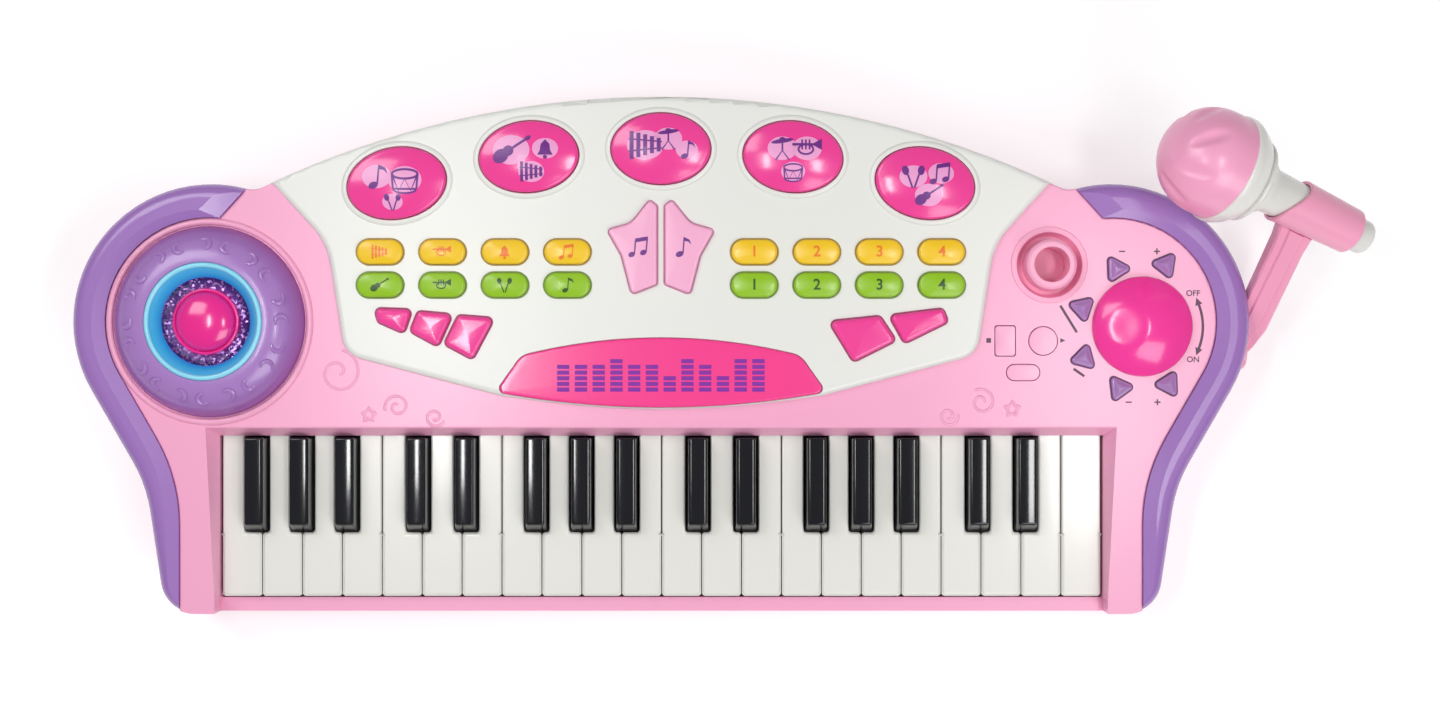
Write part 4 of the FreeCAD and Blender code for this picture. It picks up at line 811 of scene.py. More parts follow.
MIC_SHIFT = (1.4, 2.8, 0.0)
MIC_RAISE = 2.2
MIC_TIP_RADIUS = 7.2
MIC_TIP_LENGTH = 7.8
MIC_TIP_ROUND = 2.6
MIC_TAIL_RADIUS = 8.0
MIC_HANDLE_RADIUS = 9.4
MIC_HANDLE_LENGTH = 46.0
MIC_NECK_RADIUS = 15.2
MIC_NECK_LENGTH = 8.8
MIC_GROOVE_RADIUS = 16.6
MIC_BEAD_ROUND = 1.25
MIC_CAP_RADIUS = 23.0
MIC_CAP_SLOPE = 8.6
MIC_CAP_LENGTH = 11.6
MIC_CAP_ROUND = 0.8
MIC_FLARE_POWER = 0.55
MIC_HEAD_RADIUS = 22.2
MIC_HEAD_RISE = 6.0
ROUND_STEPS = 6
HEAD_STEPS = 40
PETALS = 7
PETAL_PLACE = math.radians(52.0)
PETAL_SLANT = math.radians(28.0)
PETAL_LENGTH = 9.5
PETAL_WIDTH = 3.4
PETAL_DEPTH = 1.3
PETAL_POWER = 1.5
SLEEVE_START = 1.1
SLEEVE_LENGTH = 38.0
SLEEVE_GAP = 0.35
SLEEVE_WALL = 1.3
SLEEVE_SCOOP = 9.0
SLEEVE_EASE = 0.4
ARM_SEAT_SHARE = 0.65
ARM_THICKNESS = 7.0
ARM_EASE = 0.8
ARM_RIDGE_SHARE = 0.5
ARM_RIDGE = 0.9
HUB_RADIUS = 7.6
HUB_WIDTH = 6.0
PEG_RADIUS = 4.3
PEG_LENGTH = 12.6
PEG_HEAD_RADIUS = 5.4
PEG_HEAD = 1.6

# Widths of the arm: share of the way from the hub to the sleeve, and the width there
ARM_WIDTHS = ((0.0, 6.0), (0.1, 10.0), (0.25, 14.0), (0.6, 14.4), (0.88, 15.0), (1.0, 17.0))


def petal_dent(away, radius):
    """Depth of the head's dents in one direction from the ball's centre."""
    polar_angle = away.angle(UP)
    around = math.atan2(away.y, away.x)
    depth = 0
    for start in turn_angles(PETALS):
        turn = (around - start + math.pi) % FULL_TURN - math.pi
        spot = Vector((turn * math.sin(polar_angle), polar_angle - PETAL_PLACE)) * radius
        spot = Matrix.Rotation(PETAL_SLANT, 2) @ spot
        reach = (spot.x / PETAL_WIDTH) ** 2 + (spot.y / PETAL_LENGTH) ** 2
        depth += PETAL_DEPTH * max(0, 1 - reach) ** PETAL_POWER
    return depth


def microphone_place():
    """Place at the microphone's tip, z along its axis: the solid's own, moved to its seat in the sleeve."""
    turn = Vector(JOINTS["microphone_lift_out"]["axis"]).to_track_quat("Z", "Y").to_matrix().to_4x4()
    vertices = frame["nodes"]["microphone"].data.vertices
    low, high = extent([turn.inverted() @ vertex.co for vertex in vertices])
    tip = Vector(((low.x + high.x) / 2, (low.y + high.y) / 2, low.z))
    shift = Matrix.Translation(PANEL.to_3x3() @ Vector(MIC_SHIFT))
    return shift @ turn @ Matrix.Translation(tip) @ Matrix.Scale(MM, 4) @ Matrix.Translation(UP * MIC_RAISE)


def handle_radius(height):
    share = (height - MIC_TIP_LENGTH) / MIC_HANDLE_LENGTH
    return MIC_TAIL_RADIUS + (MIC_HANDLE_RADIUS - MIC_TAIL_RADIUS) * share


def microphone(place):
    neck = MIC_TIP_LENGTH + MIC_HANDLE_LENGTH
    bead = neck + MIC_NECK_LENGTH
    cap = bead + 2 * MIC_BEAD_ROUND
    cap_top = cap + MIC_CAP_LENGTH
    profile = [(0, 0)]
    profile += arc((MIC_TIP_RADIUS - MIC_TIP_ROUND, MIC_TIP_ROUND), MIC_TIP_ROUND, -90, 0, ROUND_STEPS)
    profile += [(MIC_TIP_RADIUS, MIC_TIP_LENGTH), (MIC_TAIL_RADIUS, MIC_TIP_LENGTH)]
    profile += [(MIC_HANDLE_RADIUS, neck), (MIC_NECK_RADIUS, bead)]
    profile += arc((MIC_GROOVE_RADIUS, bead + MIC_BEAD_ROUND), MIC_BEAD_ROUND, -90, 90, ROUND_STEPS)
    for step in range(1, ROUND_STEPS + 1):
        share = step / ROUND_STEPS
        flare = (MIC_CAP_RADIUS - MIC_GROOVE_RADIUS) * share ** MIC_FLARE_POWER
        profile.append((MIC_GROOVE_RADIUS + flare, cap + MIC_CAP_SLOPE * share))
    edge = (MIC_CAP_RADIUS - MIC_CAP_ROUND, cap_top - MIC_CAP_ROUND)
    profile += arc(edge, MIC_CAP_ROUND, 0, 90, ROUND_STEPS) + [(0, cap_top)]
    handle = bmesh.new()
    add_turned(handle, profile, Matrix.Identity(4))
    new_piece("microphone_handle", handle, mic_white, "microphone", ("microphone",), place)
    ball = dome_profile(MIC_HEAD_RADIUS, MIC_HEAD_RISE, MIC_HEAD_RADIUS, HEAD_STEPS)
    head = bmesh.new()
    add_turned(head, [(0, 0), (MIC_HEAD_RADIUS, 0)] + ball, Matrix.Identity(4))
    for vertex in head.verts:
        away = vertex.co - UP * MIC_HEAD_RISE
        if away.z > 0:
            vertex.co -= away.normalized() * petal_dent(away, MIC_HEAD_RADIUS)
    seat = place @ Matrix.Translation((0, 0, cap_top))
    new_piece("microphone_head", head, mic_pink, "microphone", (), seat)


def level_ended(share):
    """The same share on a curve that starts and ends level."""
    return share * share * (3 - 2 * share)


def add_sleeve(mesh, place):
    """A tapered sleeve round the handle; its top dips in a wave on the side away from the arm."""
    axis = (place.to_3x3() @ UP).normalized()
    dip = place.to_3x3().inverted() @ NORMAL.cross(axis)
    dip_angle = math.atan2(-dip.y, -dip.x)
    low = MIC_TIP_LENGTH + SLEEVE_START
    foot = handle_radius(low) + SLEEVE_GAP
    inset_wall = SLEEVE_WALL - SLEEVE_EASE
    sections = []
    for angle in turn_angles(TURN_STEPS):
        share = (1 + math.cos(angle - dip_angle)) / 2
        top = low + SLEEVE_LENGTH - SLEEVE_SCOOP * level_ended(share)
        rim = handle_radius(top) + SLEEVE_GAP
        corners = (
            (foot, low), (foot + inset_wall, low), (foot + SLEEVE_WALL, low + SLEEVE_EASE),
            (rim + SLEEVE_WALL, top - SLEEVE_EASE), (rim + inset_wall, top), (rim, top))
        spots = [Vector((*polar(radius, angle), height)) for radius, height in corners]
        sections.append([mesh.verts.new(FLAT @ place @ spot) for spot in spots])
    bridge(mesh, list(zip(*sections)), True)


def add_arm(mesh, place):
    """A ridged bar that widens from the hub on the case's side to the sleeve, with the hub and its peg."""
    pivot = FLAT @ Vector(JOINTS["mic_arm_swing"]["pos_m"])
    height = MIC_TIP_LENGTH + MIC_HANDLE_LENGTH / 2
    clip = FLAT @ place @ Vector((0, 0, height))
    axis = (FLAT.to_3x3() @ place.to_3x3() @ UP).normalized()
    along = (clip - pivot).normalized()
    outwards = (along - axis * along.dot(axis)).normalized()
    top = clip - outwards * (handle_radius(height) + SLEEVE_GAP + SLEEVE_WALL * ARM_SEAT_SHARE)
    across = along.cross(UP).normalized()
    thick = ARM_THICKNESS / 2
    rings = []
    for share, width in ARM_WIDTHS:
        wide = across.lerp(-axis, share).normalized()
        deep = wide.cross(along).normalized()
        half = width / 2
        ridge = half * ARM_RIDGE_SHARE
        right = [
            (half - ARM_EASE, -thick), (half, ARM_EASE - thick), (half, thick - ARM_EASE),
            (half - ARM_EASE, thick), (ridge, thick), (ridge - ARM_EASE, thick + ARM_RIDGE)]
        section = right + [(-u, v) for u, v in reversed(right)]
        centre = pivot.lerp(top, share)
        rings.append([mesh.verts.new(centre + wide * u + deep * v) for u, v in section])
    bridge(mesh, rings)
    mesh.faces.new(rings[0])
    mesh.faces.new(rings[-1])
    half = HUB_WIDTH / 2
    peg = -half - PEG_LENGTH
    neck = peg + PEG_HEAD
    hub = [(0, peg), (PEG_HEAD_RADIUS, peg), (PEG_HEAD_RADIUS, neck), (PEG_RADIUS, neck)]
    hub += [(PEG_RADIUS, -half), (HUB_RADIUS - ARM_EASE, -half), (HUB_RADIUS, ARM_EASE - half)]
    hub += [(HUB_RADIUS, half - ARM_EASE), (HUB_RADIUS - ARM_EASE, half), (0, half)]
    add_turned(mesh, hub, Matrix.Translation(pivot) @ Matrix.Rotation(QUARTER_TURN, 4, "Y"))


def clip_arm(place):
    mesh = bmesh.new()
    add_sleeve(mesh, place)
    add_arm(mesh, place)
    new_piece("clip_arm", mesh, clip_pink, "mic_arm", ("mic_arm",))


mic_place = microphone_place()
microphone(mic_place)
clip_arm(mic_place)


# Raised surrounds of the drum pads, and thin dark lines of painted shade in the gaps where caps meet their
# openings

GAP_SHADE_OFFSET = 0.08
GAP_SHADE_WIDTH = 0.6
GAP_SHADE_RISE = 0.12
GAP_SHADE_SHARES = ((0.0, -1.0), (0.0, 1.0), (1.0, 1.0), (1.0, -1.0))
SURROUND_GAP = 0.5
SURROUND_WIDTH = 2.6
SURROUND_RISE = 0.9
SURROUND_SHARES = (
    (0.0, -0.6), (0.0, 0.75), (0.12, 0.95), (0.3, 1.0), (0.55, 0.8), (0.8, 0.35), (1.0, -0.6))


def rings_round(node, level, gap, width, rise, shares):
    """Closed rings on the case, one round each cap; the section is in shares of the width and the rise."""
    mesh = bmesh.new()
    for outline in cap_outlines(node):
        loops = []
        for width_share, rise_share in shares:
            loop = inset(outline, -gap - width * width_share)
            loops.append(ring_of(mesh, loop, level + rise * rise_share))
        bridge(mesh, loops[::-1], True)
    bmesh.ops.recalc_face_normals(mesh, faces=mesh.faces)
    return mesh


panel_level = panel_box("control_panel")[1].z
surrounds = rings_round(
    "drum_pads", panel_level, SURROUND_GAP, SURROUND_WIDTH, SURROUND_RISE, SURROUND_SHARES)
new_piece("pad_surrounds", surrounds, panel_white, "case")
GAP_SHADE_LINES = (
    ("tone_buttons", panel_level, gap_shade_olive, "yellow_abs"),
    ("rhythm_buttons", panel_level, gap_shade_moss, "green_abs"),
    ("star_buttons", panel_level, gap_shade_pink, "pink_abs"),
    ("wedge_buttons", panel_level, gap_shade_rose, "hot_pink_abs"),
    ("drum_pads", panel_level, gap_shade_rose, "hot_pink_abs"),
    ("triangle_buttons", 0, gap_shade_plum, "purple_abs"),
)
# Each line's material is painted shade laid in a cap's gap, not ink.
for node, level, ink, slot in GAP_SHADE_LINES:
    gap_shades = rings_round(node, level, GAP_SHADE_OFFSET, GAP_SHADE_WIDTH, GAP_SHADE_RISE, GAP_SHADE_SHARES)
    new_piece(node + "_seams", gap_shades, ink, "case")


# Prints: motifs drawn in a box one unit high, scaled, and draped over the piece that carries them

PRINT_LIFT = 0.05
PRINT_SINK = 0.15
PRINT_SPAN = 1.2
PRINT_ABOVE = 60.0
PRINT_CUTS = 5
PRINT_WELD = 0.004
CURVE_STEPS = 28
PAD_PRINT = 13.0
GROUND_SHARES = (0.6, 0.48)
GROUND_LIFT = 0.03
CAP_PRINT = 6.4
STAR_PRINT = 8.5
LETTER_WEIGHT_SHARE = 0.02


def ellipse(x, y, across, along, turn=0.0):
    spin = Matrix.Rotation(turn, 2)
    spots = [Vector((across * math.cos(at), along * math.sin(at))) for at in turn_angles(CURVE_STEPS)]
    return [[Vector((x, y)) + spin @ spot for spot in spots]]


def stroke(points, width):
    """A line of even width along a row of points, as a strip of quads."""
    spine = [Vector(point) for point in points]
    sides = []
    for at, point in enumerate(spine):
        along = (spine[min(at + 1, len(spine) - 1)] - spine[max(at - 1, 0)]).normalized()
        off = along.orthogonal() * width / 2
        sides.append((point - off, point + off))
    return [[a[0], b[0], b[1], a[1]] for a, b in zip(sides, sides[1:])]


def hoop(x, y, across, along, width):
    loop = ellipse(x, y, across, along)[0]
    return stroke(loop + loop[:1], width)


def polygon(*corners):
    return [[Vector(corner) for corner in corners]]


def single_note():
    head = ellipse(-0.13, -0.36, 0.2, 0.14, 0.4)
    stem = stroke([(0.04, -0.32), (0.1, 0.46)], 0.07)
    return head + stem + polygon((0.07, 0.5), (0.07, 0.3), (0.3, 0.26), (0.46, 0.1), (0.36, 0.36))


def double_note():
    heads = ellipse(-0.38, -0.38, 0.17, 0.13, 0.4) + ellipse(0.2, -0.28, 0.17, 0.13, 0.4)
    stems = stroke([(-0.24, -0.36), (-0.18, 0.36)], 0.07) + stroke([(0.34, -0.26), (0.4, 0.46)], 0.07)
    return heads + stems + polygon((-0.22, 0.22), (0.4, 0.32), (0.43, 0.52), (-0.19, 0.42))


def drum():
    shell = stroke([(-0.46, 0.2), (-0.42, -0.34)], 0.07) + stroke([(0.46, 0.2), (0.42, -0.34)], 0.07)
    lower = [point for point in ellipse(0, -0.34, 0.42, 0.15)[0] if point.y <= -0.33]
    lacing = stroke([(-0.42, 0.1), (-0.22, -0.4), (0.0, 0.02), (0.22, -0.4), (0.42, 0.1)], 0.05)
    return hoop(0, 0.2, 0.46, 0.17, 0.08) + shell + stroke(lower, 0.07) + lacing


def horn():
    tube = stroke([(-0.6, 0.16), (0.28, 0.16)], 0.1) + hoop(-0.05, -0.04, 0.3, 0.2, 0.08)
    valves = []
    for x in (-0.2, -0.05, 0.1):
        valves += stroke([(x, -0.05), (x, 0.36)], 0.07)
    return tube + valves + polygon((0.25, 0.2), (0.25, 0.12), (0.6, -0.06), (0.6, 0.4))


def guitar():
    body = ellipse(-0.34, -0.2, 0.27, 0.22, 0.6) + ellipse(-0.1, -0.03, 0.18, 0.17, 0.6)
    return body + stroke([(-0.05, 0.0), (0.5, 0.36)], 0.08) + ellipse(0.54, 0.39, 0.1, 0.07, 0.6)


def sound_bars():
    bars = []
    for number in range(5):
        x = -0.44 + 0.22 * number
        tall = 0.46 - 0.06 * number
        bars += stroke([(x, -tall), (x, tall)], 0.13)
    return bars + stroke([(-0.54, 0.2), (0.54, 0.1)], 0.05) + stroke([(-0.54, -0.2), (0.54, -0.1)], 0.05)


def shakers():
    shapes = []
    for x, lean in ((-0.24, 0.2), (0.24, -0.2)):
        shapes += ellipse(x - lean / 2, 0.26, 0.15, 0.21, lean)
        shapes += stroke([(x, 0.08), (x + lean, -0.5)], 0.08)
    return shapes


def cymbal():
    legs = stroke([(0, 0.3), (0, -0.1)], 0.07) + stroke([(-0.28, -0.48), (0, -0.1), (0.28, -0.48)], 0.06)
    return ellipse(0, 0.3, 0.46, 0.09, 0.15) + ellipse(0, 0.38, 0.12, 0.08) + legs


def bell():
    cup = polygon(
        (-0.36, -0.3), (0.36, -0.3), (0.24, -0.1), (0.2, 0.2), (0.0, 0.42), (-0.2, 0.2), (-0.24, -0.1))
    return cup + ellipse(0, -0.4, 0.1, 0.09)


def set_at(motif, place, size=1):
    """A motif scaled and put at a place on the panel."""
    return [[Vector(place) + Vector(corner) * size for corner in shape] for shape in motif]


def flat_faces(mesh):
    """A mesh's faces as flat shapes; the mesh itself goes."""
    shapes = [[vertex.co.xy for vertex in face.verts] for face in mesh.faces]
    mesh.free()
    return shapes


def lettering(text, size):
    """Plain letters, as the faces of a filled font curve."""
    curve = bpy.data.curves.new(text, "FONT")
    curve.body = text
    curve.size = size
    curve.offset = size * LETTER_WEIGHT_SHARE
    curve.align_x = "CENTER"
    curve.align_y = "CENTER"
    return flat_faces(evaluated_mesh(link_object(text, curve)))


def new_print(name, shapes, carrier, ink, body, lift=PRINT_LIFT):
    """Lays flat shapes on a piece as a film of ink that follows its surface."""
    mesh = bmesh.new()
    for shape in shapes:
        mesh.faces.new([mesh.verts.new((corner.x, corner.y, 0)) for corner in shape])
    bmesh.ops.remove_doubles(mesh, verts=mesh.verts, dist=PRINT_WELD)
    for cut in range(PRINT_CUTS):
        bmesh.ops.triangulate(mesh, faces=mesh.faces)
        wide = [edge for edge in mesh.edges if edge.calc_length() > PRINT_SPAN]
        if wide:
            bmesh.ops.subdivide_edges(mesh, edges=wide, cuts=1)
    bmesh.ops.triangulate(mesh, faces=mesh.faces)
    for face in mesh.faces:
        face.normal_update()
        if face.normal.z < 0:
            face.normal_flip()
    points = [FLAT @ vertex.co for vertex in carrier.data.vertices]
    surface = BVHTree.FromPolygons(points, [face.vertices for face in carrier.data.polygons])
    for vertex in mesh.verts:
        found = surface.ray_cast(Vector((vertex.co.x, vertex.co.y, PRINT_ABOVE)), -UP)[0]
        vertex.co.z = (found.z if found else 0) + lift
    rim = [edge for edge in mesh.edges if edge.is_boundary]
    grown = bmesh.ops.extrude_edge_only(mesh, edges=rim)["geom"]
    for vertex in [item for item in grown if isinstance(item, bmesh.types.BMVert)]:
        vertex.co.z -= lift + PRINT_SINK
    new_piece(name, mesh, ink, body)


def cap_middles(node):
    """Middle of each cap of a button set, from left to right."""
    return sorted([middle_of(outline) for outline in cap_outlines(node)], key=lambda middle: middle.x)


# Motifs of each drum pad: drawing, place to the right and up, size, in shares of the print
PAD_MOTIFS = (
    ((single_note, (-0.62, 0.2), 0.8), (drum, (0.3, 0.1), 0.9), (shakers, (-0.1, -0.62), 0.55)),
    ((guitar, (-0.55, 0.2), 1.0), (bell, (0.55, 0.25), 0.7), (sound_bars, (0.1, -0.5), 0.7)),
    ((sound_bars, (-0.5, 0.1), 1.0), (cymbal, (0.25, 0.3), 0.75), (single_note, (0.85, -0.05), 0.6)),
    ((cymbal, (-0.35, 0.25), 0.8), (horn, (0.45, 0.25), 0.8), (drum, (0.0, -0.5), 0.65)),
    ((double_note, (0.5, 0.3), 0.7), (shakers, (-0.4, 0.2), 0.75), (guitar, (0.1, -0.4), 0.75)),
)

# Motifs of the left half of each row of small buttons; the right half has numbers
ROW_MOTIFS = (
    ("tone_buttons", (sound_bars, horn, bell, double_note), ink_orange, "yellow_abs"),
    ("rhythm_buttons", (guitar, horn, shakers, single_note), ink_green, "green_abs"),
)


def button_prints():
    dark = []
    pale = []
    for middle, motifs in zip(cap_middles("drum_pads"), PAD_MOTIFS):
        for motif, place_shares, size_share in motifs:
            spot = middle + Vector(place_shares) * PAD_PRINT
            size = PAD_PRINT * size_share
            dark += set_at(motif(), spot, size)
            pale += ellipse(*spot, size * GROUND_SHARES[0], size * GROUND_SHARES[1])
    new_print("pad_print_grounds", pale, caps["drum_pads"], ink_lilac, "drum_pads", GROUND_LIFT)
    new_print("pad_prints", dark, caps["drum_pads"], ink_purple, "drum_pads", 2 * PRINT_LIFT)
    for node, motifs, ink, slot in ROW_MOTIFS:
        shapes = []
        for number, middle in enumerate(cap_middles(node)):
            if number < len(motifs):
                shapes += set_at(motifs[number](), middle, CAP_PRINT)
            else:
                shapes += set_at(lettering(str(number - len(motifs) + 1), CAP_PRINT), middle)
        new_print(node + "_prints", shapes, caps[node], ink, node)
    left, right = cap_middles("star_buttons")
    notes = set_at(double_note(), left, STAR_PRINT) + set_at(single_note(), right, STAR_PRINT)
    new_print("star_prints", notes, caps["star_buttons"], ink_purple, "star_buttons")


button_prints()


# Equaliser on the display lens

BAR_COLUMNS = 12
BAR_PITCH = 7.5
BAR_WIDTH = 5.2
BAR_FOOT = -14.2
BAR_SEED = 4
SEGMENT_PITCH = 2.4
SEGMENT_HEIGHT = 1.75
FEWEST_SEGMENTS = 3
MOST_SEGMENTS = 6


def equaliser_tree(values):
    """Columns of bar segments in a row; each column's height is drawn at random from a fixed seed."""
    tree, given = node_tree("equaliser", values)
    step = add_node(tree, "ShaderNodeCombineXYZ", {"X": given["Column pitch"]})
    row = add_node(tree, "GeometryNodeMeshLine", {
        "Count": given["Columns"], "Offset": step.outputs[0]}, mode="OFFSET", count_mode="TOTAL")
    # 4, 5 and 2 are the random node's sockets for whole numbers
    height = add_node(tree, "FunctionNodeRandomValue", {
        4: given["Fewest"], 5: given["Most"], "Seed": given["Seed"]}, data_type="INT")
    stacked = add_node(tree, "GeometryNodeDuplicateElements", {
        "Geometry": row.outputs["Mesh"], "Amount": height.outputs[2]}, domain="POINT")
    climb = maths(tree, "MULTIPLY", stacked.outputs["Duplicate Index"], given["Segment pitch"])
    lift = add_node(tree, "ShaderNodeCombineXYZ", {"Y": climb})
    placed = add_node(tree, "GeometryNodeSetPosition", {
        "Geometry": stacked.outputs["Geometry"], "Offset": lift.outputs[0]})
    segment = add_node(tree, "GeometryNodeMeshGrid", {
        "Size X": given["Bar width"], "Size Y": given["Segment height"], "Vertices X": 2, "Vertices Y": 2})
    bars = add_node(tree, "GeometryNodeInstanceOnPoints", {
        "Points": placed.outputs[0], "Instance": segment.outputs["Mesh"]})
    close_tree(tree, bars.outputs[0], given["Ink"])
    return tree


def equaliser():
    values = {
        "Columns": BAR_COLUMNS, "Column pitch": BAR_PITCH, "Bar width": BAR_WIDTH,
        "Segment pitch": SEGMENT_PITCH, "Segment height": SEGMENT_HEIGHT, "Fewest": FEWEST_SEGMENTS,
        "Most": MOST_SEGMENTS, "Seed": BAR_SEED, "Ink": ink_violet}
    row = BAR_PITCH * (BAR_COLUMNS - 1)
    shapes = set_at(flat_faces(grown_mesh(equaliser_tree(values), values)), (-row / 2, BAR_FOOT))
    new_print("equaliser_bars", shapes, caps["display_lens"], ink_violet, "case")


equaliser()


# Labels and raised curls on the deck

LABEL_GAP = 4.6
LABEL_TURN_DEG = 33.0
LABEL_SIZE = 3.4
ARROW_SPREAD_DEG = 21.0
ARROW_WIDTH = 1.1
ARROW_HEAD = 3.2
MARK_SIZE = 2.6
MARK_WIDTH = 0.6
MARK_PLACES = ((195.6, 44.4, "-"), (210.4, 44.4, "+"), (198.4, -19.6, "-"), (210.6, -19.6, "+"))
BAR_MARKS = (((169.4, 21.4), (176.4, 10.0)), ((175.0, -5.4), (179.6, -8.6)))
BAR_MARK_WIDTH = 1.1
ICON_SIZE = 2.0
EMBOSS_RADIUS = 0.75
EMBOSS_SINK_SHARE = 0.45
EMBOSS_SIDES = 10
CURL_TURNS = 1.35
CURL_POWER = 0.8
STAR_POINTS = 5

# Stop and play icons: place, and corners in a box one unit high
ICONS = (
    ((139.0, 6.6), ((-0.5, -0.5), (0.5, -0.5), (0.5, 0.5), (-0.5, 0.5))),
    ((170.4, 6.6), ((-0.5, -0.5), (0.6, 0.0), (-0.5, 0.5))),
)

# Raised curls: place, size and the direction in degrees where they start; raised stars: place and size
CURLS = (
    (-137.0, -7.0, 9.0, 80.0), (-112.0, -21.5, 4.6, 200.0), (-96.0, -26.0, 3.4, -20.0),
    (136.0, -19.5, 5.0, 120.0), (122.0, -25.5, 3.4, 10.0),
)
STARS = ((-124.0, -25.0, 3.2), (149.0, -22.5, 3.4))


def arrow_head(tip, along):
    """A triangle that points along a direction."""
    side = along.orthogonal() * ARROW_HEAD / 2
    return [[tip - side, tip + along * ARROW_HEAD, tip + side]]


def deck_labels():
    place, radius = round_node("power_knob")[:2]
    knob = place.translation.xy
    reach = radius + LABEL_GAP
    sweep = arc(knob, reach, -ARROW_SPREAD_DEG, ARROW_SPREAD_DEG, CURVE_STEPS)
    shapes = stroke(sweep, ARROW_WIDTH)
    shapes += arrow_head(sweep[0], (sweep[0] - sweep[1]).normalized())
    shapes += arrow_head(sweep[-1], (sweep[-1] - sweep[-2]).normalized())
    for text, angle_deg in (("OFF", LABEL_TURN_DEG), ("ON", -LABEL_TURN_DEG)):
        shapes += set_at(lettering(text, LABEL_SIZE), knob + polar(reach, math.radians(angle_deg)))
    half = MARK_SIZE / 2
    for x, y, sign in MARK_PLACES:
        shapes += stroke([(x - half, y), (x + half, y)], MARK_WIDTH)
        if sign == "+":
            shapes += stroke([(x, y - half), (x, y + half)], MARK_WIDTH)
    for ends in BAR_MARKS:
        shapes += stroke(ends, BAR_MARK_WIDTH)
    for place, corners in ICONS:
        shapes += set_at(polygon(*corners), place, ICON_SIZE)
    new_print("deck_labels", shapes, frame["nodes"]["upper_case"], ink_plum, "case")


def add_bead(mesh, points, closed):
    """A raised line on the deck: a tube along a row of points, sunk to less than half, with closed ends."""
    count = len(points)
    rings = []
    for at, point in enumerate(points):
        ahead = points[(at + 1) % count] if closed else points[min(at + 1, count - 1)]
        behind = points[at - 1] if closed else points[max(at - 1, 0)]
        along = (ahead - behind).normalized()
        ring = []
        for angle in turn_angles(EMBOSS_SIDES):
            spot = point + along.orthogonal() * math.cos(angle) * EMBOSS_RADIUS
            height = EMBOSS_RADIUS * (math.sin(angle) - EMBOSS_SINK_SHARE)
            ring.append(mesh.verts.new((spot.x, spot.y, height)))
        rings.append(ring)
    bridge(mesh, rings, closed)
    if not closed:
        mesh.faces.new(rings[0])
        mesh.faces.new(rings[-1][::-1])


def spiral(x, y, size, start_deg):
    """A curl that winds in towards its middle."""
    points = []
    for step in range(CURVE_STEPS + 1):
        share = step / CURVE_STEPS
        reach = size * (1 - share) ** CURL_POWER + EMBOSS_RADIUS
        angle = math.radians(start_deg) - FULL_TURN * CURL_TURNS * share
        points.append(Vector((x, y)) + polar(reach, angle))
    return points


def star_loop(x, y, size):
    points = []
    for corner, angle in enumerate(turn_angles(2 * STAR_POINTS)):
        reach = size if corner % 2 == 0 else size / 2
        points.append(Vector((x, y)) + polar(reach, QUARTER_TURN + angle))
    return spaced(points, EMBOSS_RADIUS)


def deck_relief():
    mesh = bmesh.new()
    for curl in CURLS:
        add_bead(mesh, spiral(*curl), False)
    for star in STARS:
        add_bead(mesh, star_loop(*star), True)
    bmesh.ops.recalc_face_normals(mesh, faces=mesh.faces)
    new_piece("deck_relief", mesh, shell_pink, "case")


deck_labels()
deck_relief()


# Floor, light and camera; the camera looks square on to the panel

FLOOR_SPAN = 12000.0
FLOOR_CUTS = 4
FLOOR_DROP = 0.4
FLOOR_COLOURS = ("#F4F4F4", "#F1F1F1")
FLOOR_LIFT_SHARE = 0.3
WORLD_LIGHT = 0.35
CAMERA_DISTANCE = 900.0
CAMERA_AIM = (25.0, 0.85)
FRAME_WIDTH = 611.0
SENSOR_WIDTH = 36.0

# Softboxes: name, place and aim in the panel's millimetres, size, watts
SOFTBOXES = (
    ("key_softbox", (-620.0, 520.0, 900.0), (0.0, 0.0, 0.0), (600.0, 500.0), 4.6),
    ("fill_softbox", (560.0, -700.0, 900.0), (0.0, 0.0, 0.0), (800.0, 600.0), 6.2),
    ("left_strip", (-215.0, 40.0, 900.0), (-95.0, 20.0, 0.0), (50.0, 300.0), 1.3),
    ("right_strip", (350.0, -20.0, 900.0), (165.0, -10.0, 0.0), (90.0, 260.0), 1.3),
)


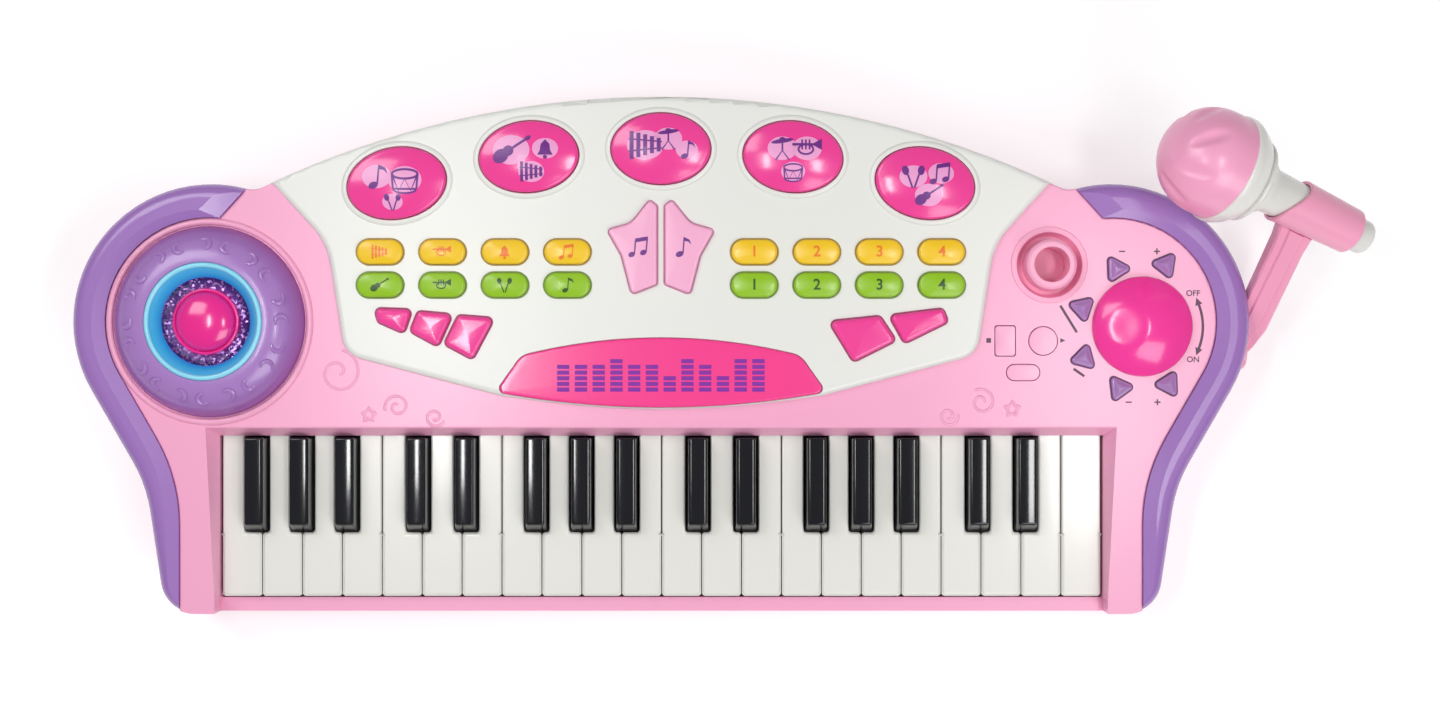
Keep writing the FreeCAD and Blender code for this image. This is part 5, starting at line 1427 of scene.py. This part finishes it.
def studio_floor():
    """Pale seamless floor, clear from below: white to the camera where it is lit, with its shadow kept."""
    material, tree, place = new_material("matt_white_backdrop")
    tint = mixed(tree, noise(tree, place, FLOW_SIZE), *[linear(colour) for colour in FLOOR_COLOURS])
    matt = add_node(tree, "ShaderNodeBsdfDiffuse", {"Color": tint})
    path = add_node(tree, "ShaderNodeLightPath").outputs
    mirrored = maths(tree, "MAXIMUM", path["Is Glossy Ray"], path["Is Transmission Ray"])
    seen = maths(tree, "MAXIMUM", path["Is Camera Ray"], mirrored)
    lift = maths(tree, "MULTIPLY", seen, FLOOR_LIFT_SHARE)
    glow = add_node(tree, "ShaderNodeEmission", {"Strength": lift})
    both = add_node(tree, "ShaderNodeAddShader", {0: matt.outputs[0], 1: glow.outputs[0]})
    side = add_node(tree, "ShaderNodeNewGeometry").outputs["Backfacing"]
    clear = add_node(tree, "ShaderNodeBsdfTransparent")
    one_sided = add_node(tree, "ShaderNodeMixShader", {0: side, 1: both.outputs[0], 2: clear.outputs[0]})
    close_material(tree, one_sided.outputs[0])
    mesh = bmesh.new()
    bmesh.ops.create_grid(mesh, x_segments=FLOOR_CUTS, y_segments=FLOOR_CUTS, size=FLOOR_SPAN / 2 * MM)
    bmesh.ops.translate(mesh, verts=mesh.verts, vec=(0, 0, -FLOOR_DROP * MM))
    data = bpy.data.meshes.new("floor")
    mesh.to_mesh(data)
    mesh.free()
    data.materials.append(material)
    floor = link_object("floor", data)


def studio_world():
    world = bpy.data.worlds.new("white_tent")
    bpy.context.scene.world = world
    world.use_nodes = True
    tree = world.node_tree
    tree.nodes.clear()
    sky = add_node(tree, "ShaderNodeBackground", {"Strength": WORLD_LIGHT})
    add_node(tree, "ShaderNodeOutputWorld", {"Surface": sky.outputs["Background"]})


def softbox(name, place, aim, size, watts):
    light = bpy.data.lights.new(name, "AREA")
    light.shape = "RECTANGLE"
    light.size = size[0] * MM
    light.size_y = size[1] * MM
    light.energy = watts
    away = (Vector(place) - Vector(aim)).normalized()
    across = Vector((0, 1, 0)).cross(away).normalized()
    turn = Matrix((across, away.cross(across), away)).transposed().to_4x4()
    link_object(name, light).matrix_world = Matrix.Translation(PANEL @ Vector(place)) @ TILT @ turn


def camera():
    lens = bpy.data.cameras.new("camera")
    lens.sensor_width = SENSOR_WIDTH
    lens.lens = SENSOR_WIDTH * CAMERA_DISTANCE / FRAME_WIDTH
    holder = link_object("camera", lens)
    holder.matrix_world = Matrix.Translation(PANEL @ Vector((*CAMERA_AIM, CAMERA_DISTANCE))) @ TILT
    bpy.context.scene.camera = holder


studio_floor()
studio_world()
for box in SOFTBOXES:
    softbox(*box)
camera()
bpy.context.scene.view_settings.view_transform = "Standard"
